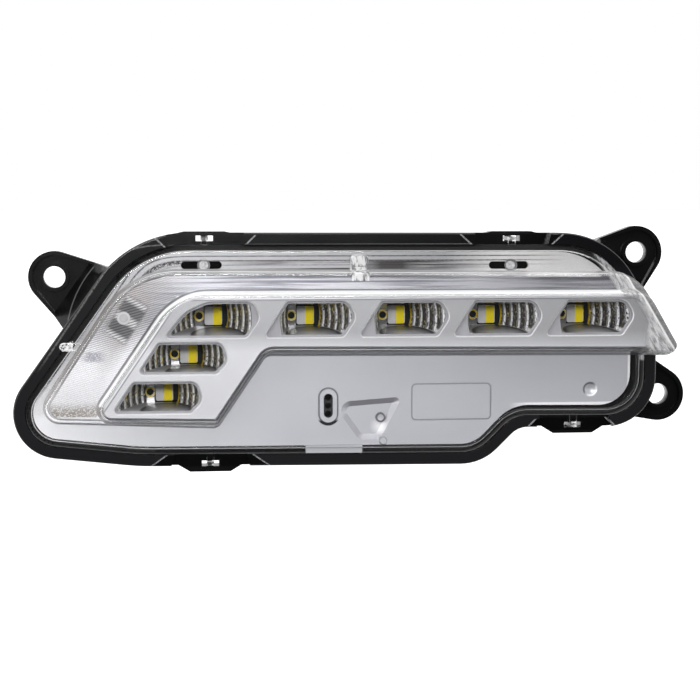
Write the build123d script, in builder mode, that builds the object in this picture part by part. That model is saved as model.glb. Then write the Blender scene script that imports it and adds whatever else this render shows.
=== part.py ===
from build123d import *
import math
import os

os.makedirs("parts", exist_ok=True)

# A daytime running light for a car bumper, in millimetres.
# +X is to the right and +Z up as the lamp is seen from the front; the front faces -Y.
# The origin is the centre of the left ear's hole, on the front face that seats on the car.
# Heights below are distances in front of that seat, so a height h is the plane Y = -h.

# Heights of the stacked pieces
rim_front = 20.0
flange_back = 8.0
flange_floor = 3.0
lens_lift = 0.4
lens_wall = 2.4
step_rise = 5.0
band_rise = 8.0
bezel_gap = 1.0
bezel_wall = 1.8
side_wall = 1.9
side_gap = 0.5
hood_wall = 1.2
hook_lift = 0.5
window_depth = 26.0
board_thick = 1.6
pad_thick = 0.5
sink_plate = 3.0
tub_back = -16.0
rear_wall = 2.5

# Rings of the rim, from the outer edge inwards
lip_width = 4.8
lip_round = 0.7
channel_width = 3.0
seat_wall = 1.2
skirt_thick = 1.8
skirt_gap = 0.4
skirt_foot_gap = 1.0
bead_depth = 3.4
bezel_edge_gap = 0.2
draft = 12.0
least_round = 0.3
lens_edge_round = 1.4
lens_ring_width = 2.2
lens_ring_drop = 0.9
lens_ring_round = 0.6

# Rim outline: corner x, corner z and corner radius, clockwise from the top left
rim_outline = [
    (32.6, 19.0, 46.5),
    (235.7, 18.6, 37.0),
    (255.5, -19.4, 25.0),
    (255.4, -64.6, 21.5),
    (195.8, -64.0, 10.0),
    (180.1, -79.6, 22.0),
    (35.5, -78.4, 120.0),
    (-31.6, -71.0, 19.0),
]
# How far the bezel's corners stand off the rim's own line
panel_shifts = [(0, 0), (0, 0), (-2.6, 0), (-2.6, 1.2), (0.6, 1.2), (0.3, 0.3), (0, 0), (0, 0)]
# Foot of the lens's first step, with the wing that reaches past the rim at the right
step_outline = [
    (32.1, 4.2, 36.0),
    (245.4, 2.4, 20.0),
    (267.4, -33.7, 4.5),
    (88.4, -32.6, 4.0),
    (68.0, -62.8, 4.0),
    (-9.6, -59.6, 7.0),
]
# Foot of the boomerang band that stands on the step
band_outline = [
    (50.0, -4.2, 27.0),
    (249.0, -4.7, 12.0),
    (265.2, -32.6, 4.0),
    (88.7, -31.0, 4.0),
    (68.4, -60.9, 3.0),
    (12.4, -59.6, 6.5),
]

# Light sources: five along the arm, two more down the leg
led_first = (68.4, -16.6)
led_pitch = 39.25
leg_step = (-10.5, -16.1)
arm_leds = 5
leg_leds = 2
led_size = (7.4, 7.8)
led_height = 1.0
led_shift = -1.6
phosphor_size = (3.5, 7.6)
phosphor_height = 0.4

# Window corners about each light source
first_window = [
    (-4.5, 7.4, 14.0),
    (14.0, 7.4, 5.0),
    (17.0, 0.6, 5.0),
    (11.4, -7.4, 2.5),
    (-22.5, -7.4, 1.2),
    (-13.5, 3.4, 14.0),
]
arm_window = [
    (-11.0, 7.4, 2.0),
    (14.0, 7.4, 5.0),
    (17.6, 0.6, 5.0),
    (12.3, -7.4, 2.5),
    (-20.6, -7.4, 1.2),
]
leg_window = [
    (-14.2, 6.8, 2.0),
    (11.8, 6.8, 4.0),
    (14.6, -1.0, 5.0),
    (9.4, -6.2, 2.5),
    (-23.0, -6.2, 1.5),
]

# Fluted reflector optics: flutes to the left and right of the light source by window, and their rings
window_bevel = 0.5
first_flutes = (5, 4)
arm_flutes = (2, 5)
leg_flutes = (5, 4)
flute_starts = (9.4, 4.4)
flute_pitch = 2.3
flute_sag = 0.35
flute_rise = 1.4
flute_centre = 14.0
optic_flange = 1.5
optic_flange_lip = 0.3
bowl_lip = 0.9
bowl_inset = 0.5
bowl_lift = 0.6
bowl_floor = 1.0
bowl_back_half = 4.4
bowl_hole_left = 5.7
spot_place = -7.6
spot_radius = 1.5

# Cup frame that clamps the optics
cup_plate = 1.5
cup_wall = 1.0
cup_gap = 0.15
cup_depth = 4.5
cup_edge_gap = 0.3

# Ears: hole place, and the two points where the ear's edges run into the tub
ear_holes = [(0.0, 0.0), (251.5, 9.8), (262.2, -52.7)]
ear_roots = [
    ((34.0, -1.5), (17.5, -34.0)),
    ((222.0, 9.0), (245.0, -18.0)),
    ((240.0, -26.0), (236.0, -58.0)),
]
ear_radii = (11.0, 11.5, 11.7)
ear_flanks = (7.0, 4.5, 2.0)
ear_thick = 5.0
ear_rim = 1.8
ear_dish = 1.8
ear_hole_radius = 4.6
collar_radius = 6.2
ear_root_round = 2.0

# Snap clips: window centre x, rim edge z there, outward sign and how far the rim bulges
clip_places = [(63.0, 18.9, 1, 0.5), (192.8, 18.7, 1, 0.6), (64.9, -78.6, -1, 2.9), (220.1, -64.3, -1, 3.0)]
clip_window = (7.2, 2.4)
clip_window_in = (2.4, 2.4, 0.6, 0.6)
clip_zone = 38.0
clip_zone_slant = 8.0
clip_recess = 4.0
clip_bulge_width = 17.0
clip_leg = (3.0, 1.5)
clip_tongue = 2.0
clip_barb = 0.9
clip_barb_height = 2.6
clip_barb_gap = 0.3

# Bezel features
slot_size = (17.0, 3.2)
slot_places = [(61.7, 5.4), (191.5, 5.0)]
side_slot_place = (29.6, -15.9)
side_slot_turn = 57.0
pip_radius = 2.6
pip_places = [(62.6, 5.4), (192.3, 5.0)]
gate_place = (127.4, 7.2)
gate_size = (7.6, 5.2)
gate_rise = 1.2
gate_round = 1.0
nub_place = (8.6, -28.0)
nub_size = (11.0, 3.4)
nub_gap = 0.2
wing_flutes = 3
wing_flute_first = 3.0
wing_flute_pitch = 2.4
wing_flute_depth = 0.8
wing_flute_reach = (20.0, 36.0)
tab_size = (23.4, 5.0)
tab_place_x = 117.3
tab_gap = 0.5
collar_place = (114.6, -54.1)
collar_size = (7.5, 14.6)
collar_rise = 0.7
collar_groove = 0.5
vent_slot = (3.9, 10.3)
vent_hole_radius = 1.4
vent_hole_pitch = 3.5
vent_plate = (9.0, 15.5)
vent_plate_thick = 1.5
vent_gap = 0.1
scoop_outline = [
    (121.3, -52.4, 4.0),
    (146.2, -50.6, 1.8),
    (136.6, -68.8, 2.5),
    (127.6, -68.8, 5.0),
    (119.6, -57.5, 4.0),
]
scoop_depth = 1.2
scoop_slope = 2.4
scoop_pin = (136.9, -59.5)
scoop_pin_radius = 1.9
scoop_pin_hole = 1.1
scoop_pin_depth = 0.6
bump_place = (137.9, -69.3)
bump_radius = 1.8
bump_rise = 0.8
bump_slant = 30.0
plate_place = (167.2, -53.0)
plate_size = (34.6, 16.0)
plate_round = 2.2
plate_line = 0.7
plate_line_depth = 0.45
dimple_place = (227.5, -48.4)
dimple_radius = 3.0
dimple_depth = 0.9

# Heat sink, boards and their fasteners
board_inset = 8.0
fin_thick = 1.6
fin_pitch = 6.0
fin_depth = 8.0
sink_screw_places = [(88.0, -16.6), (166.4, -16.6), (205.7, -16.6), (64.5, -46.0)]
screw_radius = 1.45
screw_hole_radius = 1.7
screw_head_radius = 2.7
screw_head_height = 2.0
screw_bite = 7.0
screw_drive = 1.1
screw_drive_depth = 1.2
boss_radius = 3.6
boss_hole_radius = 1.5
boss_clear = 1.2

# Rear cover with its socket, the driver board and the breather
bay_place = (135.0, -54.0)
bay_size = (72.0, 26.0)
bay_round = 3.0
cover_lap = 6.5
cover_thick = 2.5
cover_rib = 1.2
cover_rib_count = 5
seal_thick = 0.8
seal_inset = 0.8
cover_screw_inset = 3.2
cover_pad_radius = 3.2
socket_offset = 18.0
socket_inner = (18.8, 10.8)
socket_wall = 1.6
socket_depth = 16.0
socket_key = (2.4, 1.0)
pin_size = (0.8, 2.0)
pin_pitch = 5.0
pin_count = 3
pin_gap = 0.05
pin_reach = 10.0
driver_size = (64.0, 20.0)
driver_lift = 4.5
driver_post_radius = 2.5
driver_pin_radius = 1.2
driver_pin_gap = 0.1
driver_post_inset = 3.5
inductor_radius = 5.0
inductor_height = 6.0
inductor_core = 2.2
capacitor_radius = 3.2
capacitor_height = 7.0
capacitor_pitch = 8.0
chip_size = (7.0, 5.0, 1.4)
link_width = 8.0
link_thick = 0.4
link_place_x = 127.3
vent_place = (215.0, -42.0)
spigot_radius = 4.0
spigot_bore = 2.4
spigot_length = 6.0
cap_wall = 1.4
cap_gap = 0.15
cap_skirt_gap = 0.8
rib_thick = 1.8
rib_depth = 3.0
rib_pitch = 32.0
rib_count = 7

# Heights and insets worked out from the values above
channel_floor = flange_back + flange_floor
lens_front = rim_front + lens_lift
lens_back = lens_front - lens_wall
bezel_front = lens_back - bezel_gap
bezel_back = bezel_front - bezel_wall
step_front = lens_front + step_rise
band_front = step_front + band_rise
bezel_step = step_front - lens_wall - bezel_gap
bezel_band = band_front - lens_wall - bezel_gap
optic_seat = bezel_band - bezel_wall
cup_front = optic_seat - optic_flange
cup_back = cup_front - cup_plate
board_front = bezel_band - window_depth - phosphor_height - led_height
bowl_back = board_front + bowl_lift
bowl_foot = bowl_back + bowl_floor
board_back = board_front - board_thick
sink_front = board_back - pad_thick
sink_back = sink_front - sink_plate
tub_floor = tub_back + rear_wall
channel_in = lip_width + channel_width
cavity_in = channel_in + seat_wall
lens_in = lip_width + skirt_gap
skirt_in = lens_in
bezel_in = channel_in + bezel_edge_gap
seal_back = tub_back - seal_thick
cover_back = seal_back - cover_thick
driver_back = seal_back + driver_lift
driver_front = driver_back + board_thick


def front(height):
    """Sketch plane at a height, looking at the lamp from the front."""
    return Plane.XZ.offset(height)


def moved_corners(corners, inset):
    """Corners of a clockwise outline moved inwards, with their rounding kept concentric."""
    moved = []
    for index, (x, z, radius) in enumerate(corners):
        before = corners[index - 1]
        after = corners[(index + 1) % len(corners)]
        arrive = Vector(x - before[0], z - before[1]).normalized()
        leave = Vector(after[0] - x, after[1] - z).normalized()
        turns_left = arrive.X * leave.Y - arrive.Y * leave.X > 0
        reach = inset / (1 + arrive.X * leave.X + arrive.Y * leave.Y)
        round_change = inset if turns_left else -inset
        moved.append((
            x + reach * (arrive.Y + leave.Y),
            z - reach * (arrive.X + leave.X),
            max(radius + round_change, least_round),
        ))
    return moved


def outline_face(corners, grow=0.0, place=(0.0, 0.0), scale=1.0):
    """Flat face of a rounded outline, grown or shrunk by an even amount."""
    scaled = [(place[0] + scale * x, place[1] + scale * z, scale * r) for x, z, r in corners]
    rounded = moved_corners(scaled, -grow)
    with BuildSketch() as sketch:
        with BuildLine():
            FilletPolyline(*[(x, z) for x, z, r in rounded], radius=[r for x, z, r in rounded], close=True)
        make_face()
    return sketch.sketch


def rim_face(inset):
    """The rim's outline moved inwards by an inset."""
    return outline_face(rim_outline, -inset)


def drafted(inset, foot, height):
    """Inset of a drafted wall at a height, from its inset at the foot."""
    return inset + (height - foot) * math.tan(math.radians(draft))


def hood(corners, inset, foot, low, high, rim_inset):
    """Drafted block on an outline given at its foot, trimmed to the inside of the rim."""
    with BuildPart() as block:
        for height in (low, high):
            with BuildSketch(front(height)):
                add(outline_face(corners, -drafted(inset, foot, height)))
        loft(ruled=True)
        with BuildSketch(front(low)):
            add(rim_face(rim_inset))
        extrude(amount=high - low, mode=Mode.INTERSECT)
    return block.part


def write(piece, name):
    """Label a finished piece and save it under its own name."""
    piece.part.label = name
    export_step(piece.part, f"parts/{name}.step")


led_places = []
windows = []
flutes = []
for index in range(arm_leds):
    led_places.append((led_first[0] + index * led_pitch, led_first[1]))
    windows.append(first_window if index == 0 else arm_window)
    flutes.append(first_flutes if index == 0 else arm_flutes)
for index in range(1, leg_leds + 1):
    led_places.append((led_first[0] + index * leg_step[0], led_first[1] + index * leg_step[1]))
    windows.append(leg_window)
    flutes.append(leg_flutes)


# Housing: tub, rim with its glue channel, three ears and four snap windows
def ear_face(hole, roots, radius):
    """Teardrop outline of an ear, from its round end to its roots on the tub."""
    with BuildSketch() as sketch:
        with Locations(hole):
            Circle(radius)
        with Locations(*roots):
            Circle(ear_root_round)
        make_hull()
    return sketch.sketch


def ear_flank(hole, roots, radius, reach):
    """Sloping web from an ear's dished face up to the rim's flange, within the ear's outline."""
    with BuildPart() as web:
        for height, grow in ((-ear_dish, reach), (flange_back, 0)):
            with BuildSketch(front(height)):
                add(rim_face(-grow))
        loft(ruled=True)
        with BuildSketch(front(-ear_dish)):
            add(ear_face(hole, roots, radius))
            with Locations(hole):
                Circle(collar_radius, mode=Mode.SUBTRACT)
        extrude(amount=flange_back + ear_dish, mode=Mode.INTERSECT)
    return web.part


def clip_face(x, edge, sign, wide, narrow, low, high):
    """Trapezoid across the rim at a clip, between two distances outwards from the edge."""
    with BuildSketch() as sketch:
        with BuildLine():
            Polyline(
                (x - wide / 2, edge + sign * low),
                (x - narrow / 2, edge + sign * high),
                (x + narrow / 2, edge + sign * high),
                (x + wide / 2, edge + sign * low),
                close=True,
            )
        make_face()
    return sketch.sketch


recess_floor = rim_front - clip_recess
recess_in = lip_width + skirt_gap
webs = [ear_flank(*ear) for ear in zip(ear_holes, ear_roots, ear_radii, ear_flanks)]

with BuildPart() as housing:
    with BuildSketch(front(tub_back)):
        add(rim_face(channel_in))
    extrude(amount=bezel_back - tub_back)
    with BuildSketch(front(flange_back)):
        add(rim_face(0))
    extrude(amount=flange_floor)
    with BuildSketch(front(channel_floor)):
        add(rim_face(0))
        add(rim_face(lip_width), mode=Mode.SUBTRACT)
    extrude(amount=rim_front - channel_floor)
    fillet(housing.faces().sort_by(Axis.Y)[0].outer_wire().edges(), lip_round)
    for hole, roots, radius, web in zip(ear_holes, ear_roots, ear_radii, webs):
        with BuildSketch(front(-ear_thick)):
            add(ear_face(hole, roots, radius))
        extrude(amount=ear_thick)
        with BuildSketch(front(-ear_dish)):
            add(ear_face(hole, roots, radius - ear_rim))
            with Locations(hole):
                Circle(collar_radius, mode=Mode.SUBTRACT)
            add(rim_face(channel_in), mode=Mode.SUBTRACT)
        extrude(amount=ear_dish, mode=Mode.SUBTRACT)
        add(web)
        with BuildSketch(front(-ear_thick)):
            with Locations(hole):
                Circle(ear_hole_radius)
        extrude(amount=flange_back + ear_thick, mode=Mode.SUBTRACT)
    for x, edge, sign, bulge in clip_places:
        with BuildSketch(front(flange_back)):
            add(clip_face(x, edge, sign, clip_zone - clip_zone_slant, clip_bulge_width, -1.0, bulge))
        extrude(amount=recess_floor - flange_back)
        with BuildSketch(front(recess_floor)):
            add(clip_face(x, edge, sign, clip_zone - clip_zone_slant, clip_zone, -recess_in, 2 * lip_width))
        extrude(amount=2 * clip_recess, mode=Mode.SUBTRACT)
    with BuildSketch(front(tub_floor)):
        add(rim_face(cavity_in))
    extrude(amount=rim_front - tub_floor, mode=Mode.SUBTRACT)
    for (x, edge, sign, bulge), inset in zip(clip_places, clip_window_in):
        with BuildSketch(front(flange_back)):
            with Locations((x, edge - sign * inset)):
                Rectangle(*clip_window)
        extrude(amount=rim_front - flange_back, mode=Mode.SUBTRACT)
    # Bosses for the heat sink
    with BuildSketch(front(tub_floor)):
        with Locations(*sink_screw_places):
            Circle(boss_radius)
    extrude(amount=sink_back - tub_floor)
    with BuildSketch(front(sink_back)):
        with Locations(*sink_screw_places):
            Circle(boss_hole_radius)
    extrude(amount=-(screw_bite + boss_clear), mode=Mode.SUBTRACT)
    # Stiffening ribs across the back, the driver bay and the breather spigot
    with BuildSketch(front(tub_back)):
        for index in range(rib_count):
            with Locations((led_first[0] + (index - 1) * rib_pitch, 0)):
                Rectangle(rib_thick, 4 * rib_pitch)
        add(rim_face(channel_in), mode=Mode.INTERSECT)
        with Locations(bay_place):
            Rectangle(bay_size[0] + 4 * cover_lap, bay_size[1] + 4 * cover_lap, mode=Mode.SUBTRACT)
        with Locations(vent_place):
            Circle(3 * spigot_radius, mode=Mode.SUBTRACT)
    extrude(amount=-rib_depth)
    with BuildSketch(front(tub_back)):
        with Locations(vent_place):
            Circle(spigot_radius)
    extrude(amount=-spigot_length)
    with BuildSketch(front(tub_floor)):
        with Locations(vent_place):
            Circle(spigot_bore)
    extrude(amount=-(rear_wall + spigot_length), mode=Mode.SUBTRACT)
    with BuildSketch(front(tub_floor)):
        with Locations(bay_place):
            RectangleRounded(*bay_size, bay_round)
    extrude(amount=-rear_wall, mode=Mode.SUBTRACT)
    cover_screw_places = [
        (bay_place[0] + sx * (bay_size[0] / 2 + cover_screw_inset), bay_place[1] + sz * bay_size[1] / 2)
        for sx in (-1, 1)
        for sz in (-1, 1)
    ]
    with BuildSketch(front(tub_floor)):
        with Locations(*cover_screw_places):
            Circle(boss_radius)
    extrude(amount=screw_bite)
    with BuildSketch(front(tub_back)):
        with Locations(*cover_screw_places):
            Circle(boss_hole_radius)
    extrude(amount=screw_bite + boss_clear, mode=Mode.SUBTRACT)
write(housing, "housing")


# Sealing bead that glues the lens into the channel
with BuildPart() as seal_bead:
    with BuildSketch(front(channel_floor)):
        add(rim_face(lip_width))
        add(rim_face(channel_in), mode=Mode.SUBTRACT)
    extrude(amount=bead_depth)
    with BuildSketch(front(channel_floor + skirt_foot_gap)):
        add(rim_face(skirt_in))
        add(rim_face(skirt_in + skirt_thick), mode=Mode.SUBTRACT)
    extrude(amount=bead_depth, mode=Mode.SUBTRACT)
write(seal_bead, "seal_bead")


# Clear outer lens: flat sheet, raised step with the wing, boomerang band, skirt and hooks
mouth_in = skirt_in + skirt_thick
step_roof = step_front - lens_wall
band_roof = band_front - lens_wall
step_room = hood(step_outline, side_wall, lens_front, lens_back, step_roof, mouth_in)
throat_in = drafted(side_wall, step_front, step_roof)

# The flat sheet, with a lower ring round its edge
with BuildPart() as lens_sheet:
    with BuildSketch(front(lens_back)):
        add(rim_face(lens_in + lens_ring_width))
    extrude(amount=lens_wall)
    fillet(lens_sheet.faces().sort_by(Axis.Y)[0].edges(), lens_ring_round)
    with BuildSketch(front(lens_back)):
        add(rim_face(lens_in))
    extrude(amount=lens_wall - lens_ring_drop)

# Moulding marks that stand on the sheet: a round-edged gate boss and a nub across the rim
with BuildPart() as gate_boss:
    with BuildSketch(front(lens_back)):
        with Locations(gate_place):
            RectangleRounded(*gate_size, gate_size[1] / 2 - least_round)
    extrude(amount=lens_wall + gate_rise)
    fillet(gate_boss.faces().sort_by(Axis.Y)[0].edges(), gate_round)
with BuildPart() as gate_nub:
    with BuildSketch(front(rim_front + nub_gap)):
        with Locations(nub_place):
            SlotOverall(*nub_size)
    extrude(amount=gate_rise)
    fillet(gate_nub.faces().sort_by(Axis.Y)[0].edges(), gate_round / 2)

wing_top = Vector(step_outline[1][0], -lens_front, step_outline[1][1])
wing_way = (Vector(step_outline[2][0], -lens_front, step_outline[2][1]) - wing_top).normalized()
wing_in = wing_way.cross(Vector(0, 1, 0))

with BuildPart() as outer_lens:
    for height in (lens_front, step_front):
        with BuildSketch(front(height)):
            add(outline_face(step_outline, -drafted(0, lens_front, height)))
    loft(ruled=True)
    fillet(outer_lens.faces().sort_by(Axis.Y)[0].edges(), lens_edge_round)
    for height in (step_front, band_front):
        with BuildSketch(front(height)):
            add(outline_face(band_outline, -drafted(0, step_front, height)))
    loft(ruled=True)
    fillet(outer_lens.faces().sort_by(Axis.Y)[0].edges(), lens_edge_round)
    for index in range(wing_flutes):
        aside = wing_flute_first + index * wing_flute_pitch
        groove_end = wing_top + wing_way * wing_flute_reach[0] + wing_in * aside
        with BuildSketch(Plane(groove_end, x_dir=wing_in, z_dir=wing_way)):
            with BuildLine():
                Polyline(
                    (-wing_flute_pitch / 2, 0),
                    (0, -wing_flute_depth),
                    (wing_flute_pitch / 2, 0),
                    close=True,
                )
            make_face()
        extrude(amount=wing_flute_reach[1] - wing_flute_reach[0], mode=Mode.SUBTRACT)
    add(lens_sheet.part)
    add(gate_boss.part)
    add(gate_nub.part)
    with BuildSketch(front(channel_floor + skirt_foot_gap)):
        add(rim_face(skirt_in))
        add(rim_face(skirt_in + skirt_thick), mode=Mode.SUBTRACT)
    extrude(amount=lens_back - channel_floor - skirt_foot_gap)
    add(step_room, mode=Mode.SUBTRACT)
    with BuildSketch(front(step_roof)):
        add(outline_face(band_outline, -throat_in))
        add(rim_face(mouth_in), mode=Mode.INTERSECT)
    extrude(amount=lens_wall, mode=Mode.SUBTRACT)
    for height in (step_front, band_roof):
        with BuildSketch(front(height)):
            add(outline_face(band_outline, -drafted(side_wall, step_front, height)))
    loft(ruled=True, mode=Mode.SUBTRACT)
    for (x, edge, sign, bulge), inset in zip(clip_places, clip_window_in):
        leg_z = edge - sign * inset
        reach = lens_in + skirt_thick - inset
        with BuildSketch(front(lens_back)):
            with Locations((x, leg_z - sign * (reach - clip_leg[1] / 2) / 2)):
                Rectangle(clip_leg[0], reach + clip_leg[1] / 2)
        extrude(amount=-clip_tongue)
        with BuildSketch(front(lens_back)):
            with Locations((x, leg_z)):
                Rectangle(*clip_leg)
        extrude(amount=-(lens_back - flange_back + clip_barb_height))
        with BuildSketch(front(flange_back - clip_barb_gap)):
            with Locations((x, leg_z)):
                Rectangle(clip_leg[0], clip_leg[1] + 2 * clip_barb)
        extrude(amount=-(clip_barb_height - clip_barb_gap), taper=draft)
    with BuildSketch(front(lens_back)):
        with Locations(*pip_places):
            Circle(pip_radius)
    extrude(amount=-bezel_gap)
    with BuildSketch(front(step_roof)):
        with Locations(side_slot_place):
            Circle(pip_radius)
    extrude(amount=-bezel_gap)
    with BuildSketch(front(lens_back)):
        with Locations((tab_place_x, rim_outline[6][1] + lens_in)):
            Rectangle(tab_size[0] + 2 * tab_gap, 4 * skirt_thick)
    extrude(amount=-(lens_back - channel_floor), mode=Mode.SUBTRACT)
write(outer_lens, "outer_lens")


# Silver bezel: panel, stepped hood under the band, seven windows and the moulded marks
hood_out = side_wall + side_gap
hood_in = hood_out + hood_wall
hood_trim = mouth_in + side_gap
hook_back = step_front + hook_lift
step_hood = hood(step_outline, hood_out, lens_front, bezel_front, bezel_step, bezel_in)
band_hood = hood(band_outline, hood_out, step_front, bezel_step, bezel_band, hood_trim)
hook_in = drafted(hood_out, step_front, bezel_band) + hook_lift
panel_trim = bezel_in + hood_wall
step_hollow = hood(step_outline, hood_in, lens_front, bezel_back, bezel_step - bezel_wall, panel_trim)
hollow_trim = hood_trim + hood_wall
band_hollow = hood(band_outline, hood_in, step_front, bezel_step - bezel_wall, optic_seat, hollow_trim)
dimple_ball = (dimple_radius**2 + dimple_depth**2) / (2 * dimple_depth)
panel_outline = [(x + dx, z + dz, r) for (x, z, r), (dx, dz) in zip(rim_outline, panel_shifts)]

with BuildPart() as bezel:
    with BuildSketch(front(bezel_back)):
        add(outline_face(panel_outline, -bezel_in))
        with Locations((tab_place_x, rim_outline[6][1] + lens_in + tab_gap)):
            Rectangle(*tab_size, align=(Align.CENTER, Align.MIN))
    extrude(amount=bezel_wall)
    add(step_hood)
    add(band_hood)
    with BuildSketch(front(hook_back)):
        add(outline_face(band_outline, -hook_in))
        add(rim_face(lip_width - side_gap), mode=Mode.INTERSECT)
    extrude(amount=bezel_band - hook_back)
    add(step_hollow, mode=Mode.SUBTRACT)
    add(band_hollow, mode=Mode.SUBTRACT)
    for place, shape in zip(led_places, windows):
        with BuildSketch(front(optic_seat)):
            add(outline_face(shape, 0, place))
        extrude(amount=bezel_wall, mode=Mode.SUBTRACT)
        for sunk in (window_bevel, 0):
            with BuildSketch(front(bezel_band - sunk)):
                add(outline_face(shape, window_bevel - sunk, place))
        loft(ruled=True, mode=Mode.SUBTRACT)
    with BuildSketch(front(bezel_back)):
        with Locations(*slot_places):
            SlotOverall(*slot_size)
    extrude(amount=bezel_wall, mode=Mode.SUBTRACT)
    with BuildSketch(front(bezel_step)):
        with Locations(side_slot_place):
            SlotOverall(*slot_size, rotation=side_slot_turn)
    extrude(amount=-bezel_wall, mode=Mode.SUBTRACT)
    with BuildSketch(front(bezel_front)):
        with Locations(collar_place):
            SlotOverall(collar_size[1] + 2 * collar_groove, collar_size[0] + 2 * collar_groove, rotation=90)
    extrude(amount=-collar_groove, mode=Mode.SUBTRACT)
    with BuildSketch(front(bezel_back)):
        with Locations(collar_place):
            SlotOverall(collar_size[1], collar_size[0], rotation=90)
    extrude(amount=bezel_wall + collar_rise)
    with BuildSketch(front(bezel_back)):
        with Locations(collar_place):
            SlotOverall(vent_slot[1], vent_slot[0], rotation=90)
    extrude(amount=bezel_wall + collar_rise, mode=Mode.SUBTRACT)
    for sunk, inset in ((scoop_depth, scoop_slope), (0, 0)):
        with BuildSketch(front(bezel_front - sunk)):
            add(outline_face(scoop_outline, -inset))
    loft(ruled=True, mode=Mode.SUBTRACT)
    with BuildSketch(front(bezel_front)):
        with Locations(scoop_pin):
            Circle(scoop_pin_radius)
    extrude(amount=-scoop_depth)
    with BuildSketch(front(bezel_front)):
        with Locations(scoop_pin):
            Circle(scoop_pin_hole)
    extrude(amount=-scoop_pin_depth, mode=Mode.SUBTRACT)
    with BuildSketch(front(bezel_front - scoop_depth)):
        with Locations(bump_place):
            Circle(bump_radius)
    extrude(amount=scoop_depth)
    with BuildSketch(front(bezel_front)):
        with Locations(bump_place):
            Circle(bump_radius)
    extrude(amount=bump_rise, taper=bump_slant)
    with Locations((dimple_place[0], -bezel_front - dimple_ball + dimple_depth, dimple_place[1])):
        Sphere(dimple_ball, mode=Mode.SUBTRACT)
    with BuildSketch(front(bezel_front)):
        with Locations(plate_place):
            RectangleRounded(*plate_size, plate_round)
            RectangleRounded(
                plate_size[0] - 2 * plate_line,
                plate_size[1] - 2 * plate_line,
                plate_round - plate_line,
                mode=Mode.SUBTRACT,
            )
    extrude(amount=-plate_line_depth, mode=Mode.SUBTRACT)
write(bezel, "bezel")


# Dark vent insert with three round holes behind the oval collar
with BuildPart() as vent_insert:
    with BuildSketch(front(bezel_back)):
        with Locations(collar_place):
            RectangleRounded(*vent_plate, vent_gap + vent_plate_thick)
    extrude(amount=-vent_plate_thick)
    with BuildSketch(front(bezel_back)):
        with Locations(collar_place):
            SlotOverall(vent_slot[1] - 2 * vent_gap, vent_slot[0] - 2 * vent_gap, rotation=90)
    extrude(amount=bezel_wall)
    with BuildSketch(front(bezel_front)):
        with Locations(collar_place):
            with GridLocations(0, vent_hole_pitch, 1, 3):
                Circle(vent_hole_radius)
    extrude(amount=-(bezel_wall + vent_plate_thick), mode=Mode.SUBTRACT)
write(vent_insert, "vent_insert")


# Cup frame: a boomerang plate that clamps the optics, with a short sleeve round each one
with BuildPart() as cup_frame:
    with BuildSketch(front(cup_back)):
        add(outline_face(band_outline, -(drafted(hood_in, step_front, cup_front) + cup_edge_gap)))
        add(rim_face(hollow_trim + cup_edge_gap), mode=Mode.INTERSECT)
    extrude(amount=cup_plate)
    for place, shape in zip(led_places, windows):
        with BuildSketch(front(cup_back)):
            add(outline_face(shape, cup_wall + cup_gap - bowl_inset, place))
        extrude(amount=-cup_depth)
    for place, shape in zip(led_places, windows):
        with BuildSketch(front(cup_front)):
            add(outline_face(shape, cup_gap - bowl_inset, place))
        extrude(amount=-(cup_plate + cup_depth), mode=Mode.SUBTRACT)
write(cup_frame, "cup_frame")


# Optics: mirrored bowls, each with ring-shaped flutes to the left and right of its light source
def flute_points(place, side, start, count):
    """Corners of the flutes on one side, from the bowl's foot up to its flange, as X and Y."""
    points = []
    for step in range(count + 1):
        climb = (step / count) ** flute_rise
        height = bowl_foot + climb * (optic_seat - bowl_foot)
        points.append(Vector(place[0] + side * (start + step * flute_pitch), -height))
    return points


def bowl_room(place, shape, counts):
    """Hollow of one bowl: the window's outline, with a drafted floor and roof and fluted ends."""
    heights = [z for x, z, r in shape]
    with BuildPart() as room:
        with BuildSketch(front(bowl_foot)):
            add(outline_face(shape, -bowl_lip, place))
        extrude(amount=optic_seat - bowl_foot)
        with BuildSketch(Plane.YZ.offset(place[0])):
            with BuildLine():
                Polyline(
                    (-bowl_foot, place[1] - bowl_back_half),
                    (-optic_seat, place[1] + min(heights) + bowl_lip),
                    (-optic_seat, place[1] + max(heights) - bowl_lip),
                    (-bowl_foot, place[1] + bowl_back_half),
                    close=True,
                )
            make_face()
        extrude(amount=led_pitch, both=True, mode=Mode.INTERSECT)
        for side, start, count in zip((-1, 1), flute_starts, counts):
            points = flute_points(place, side, start, count)
            far = points[-1].X + side * led_pitch / 4
            with BuildSketch(Plane((0, 0, place[1]), x_dir=(1, 0, 0), z_dir=(0, 0, 1))):
                with BuildLine():
                    for low, high in zip(points, points[1:]):
                        way = (high - low).normalized()
                        sag = Vector(-way.Y, way.X) * flute_sag * -side
                        ThreePointArc(low, (low + high) / 2 + sag, high)
                    Polyline(points[-1], (points[-1].X, -bezel_band), (far, -bezel_band))
                    Polyline((far, -bezel_band), (far, -bowl_back), (points[0].X, -bowl_back), points[0])
                make_face()
            centre_x = place[0] - side * flute_centre
            revolve(axis=Axis((centre_x, 0, place[1]), (0, 1, 0)), mode=Mode.SUBTRACT)
    return room.part


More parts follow.
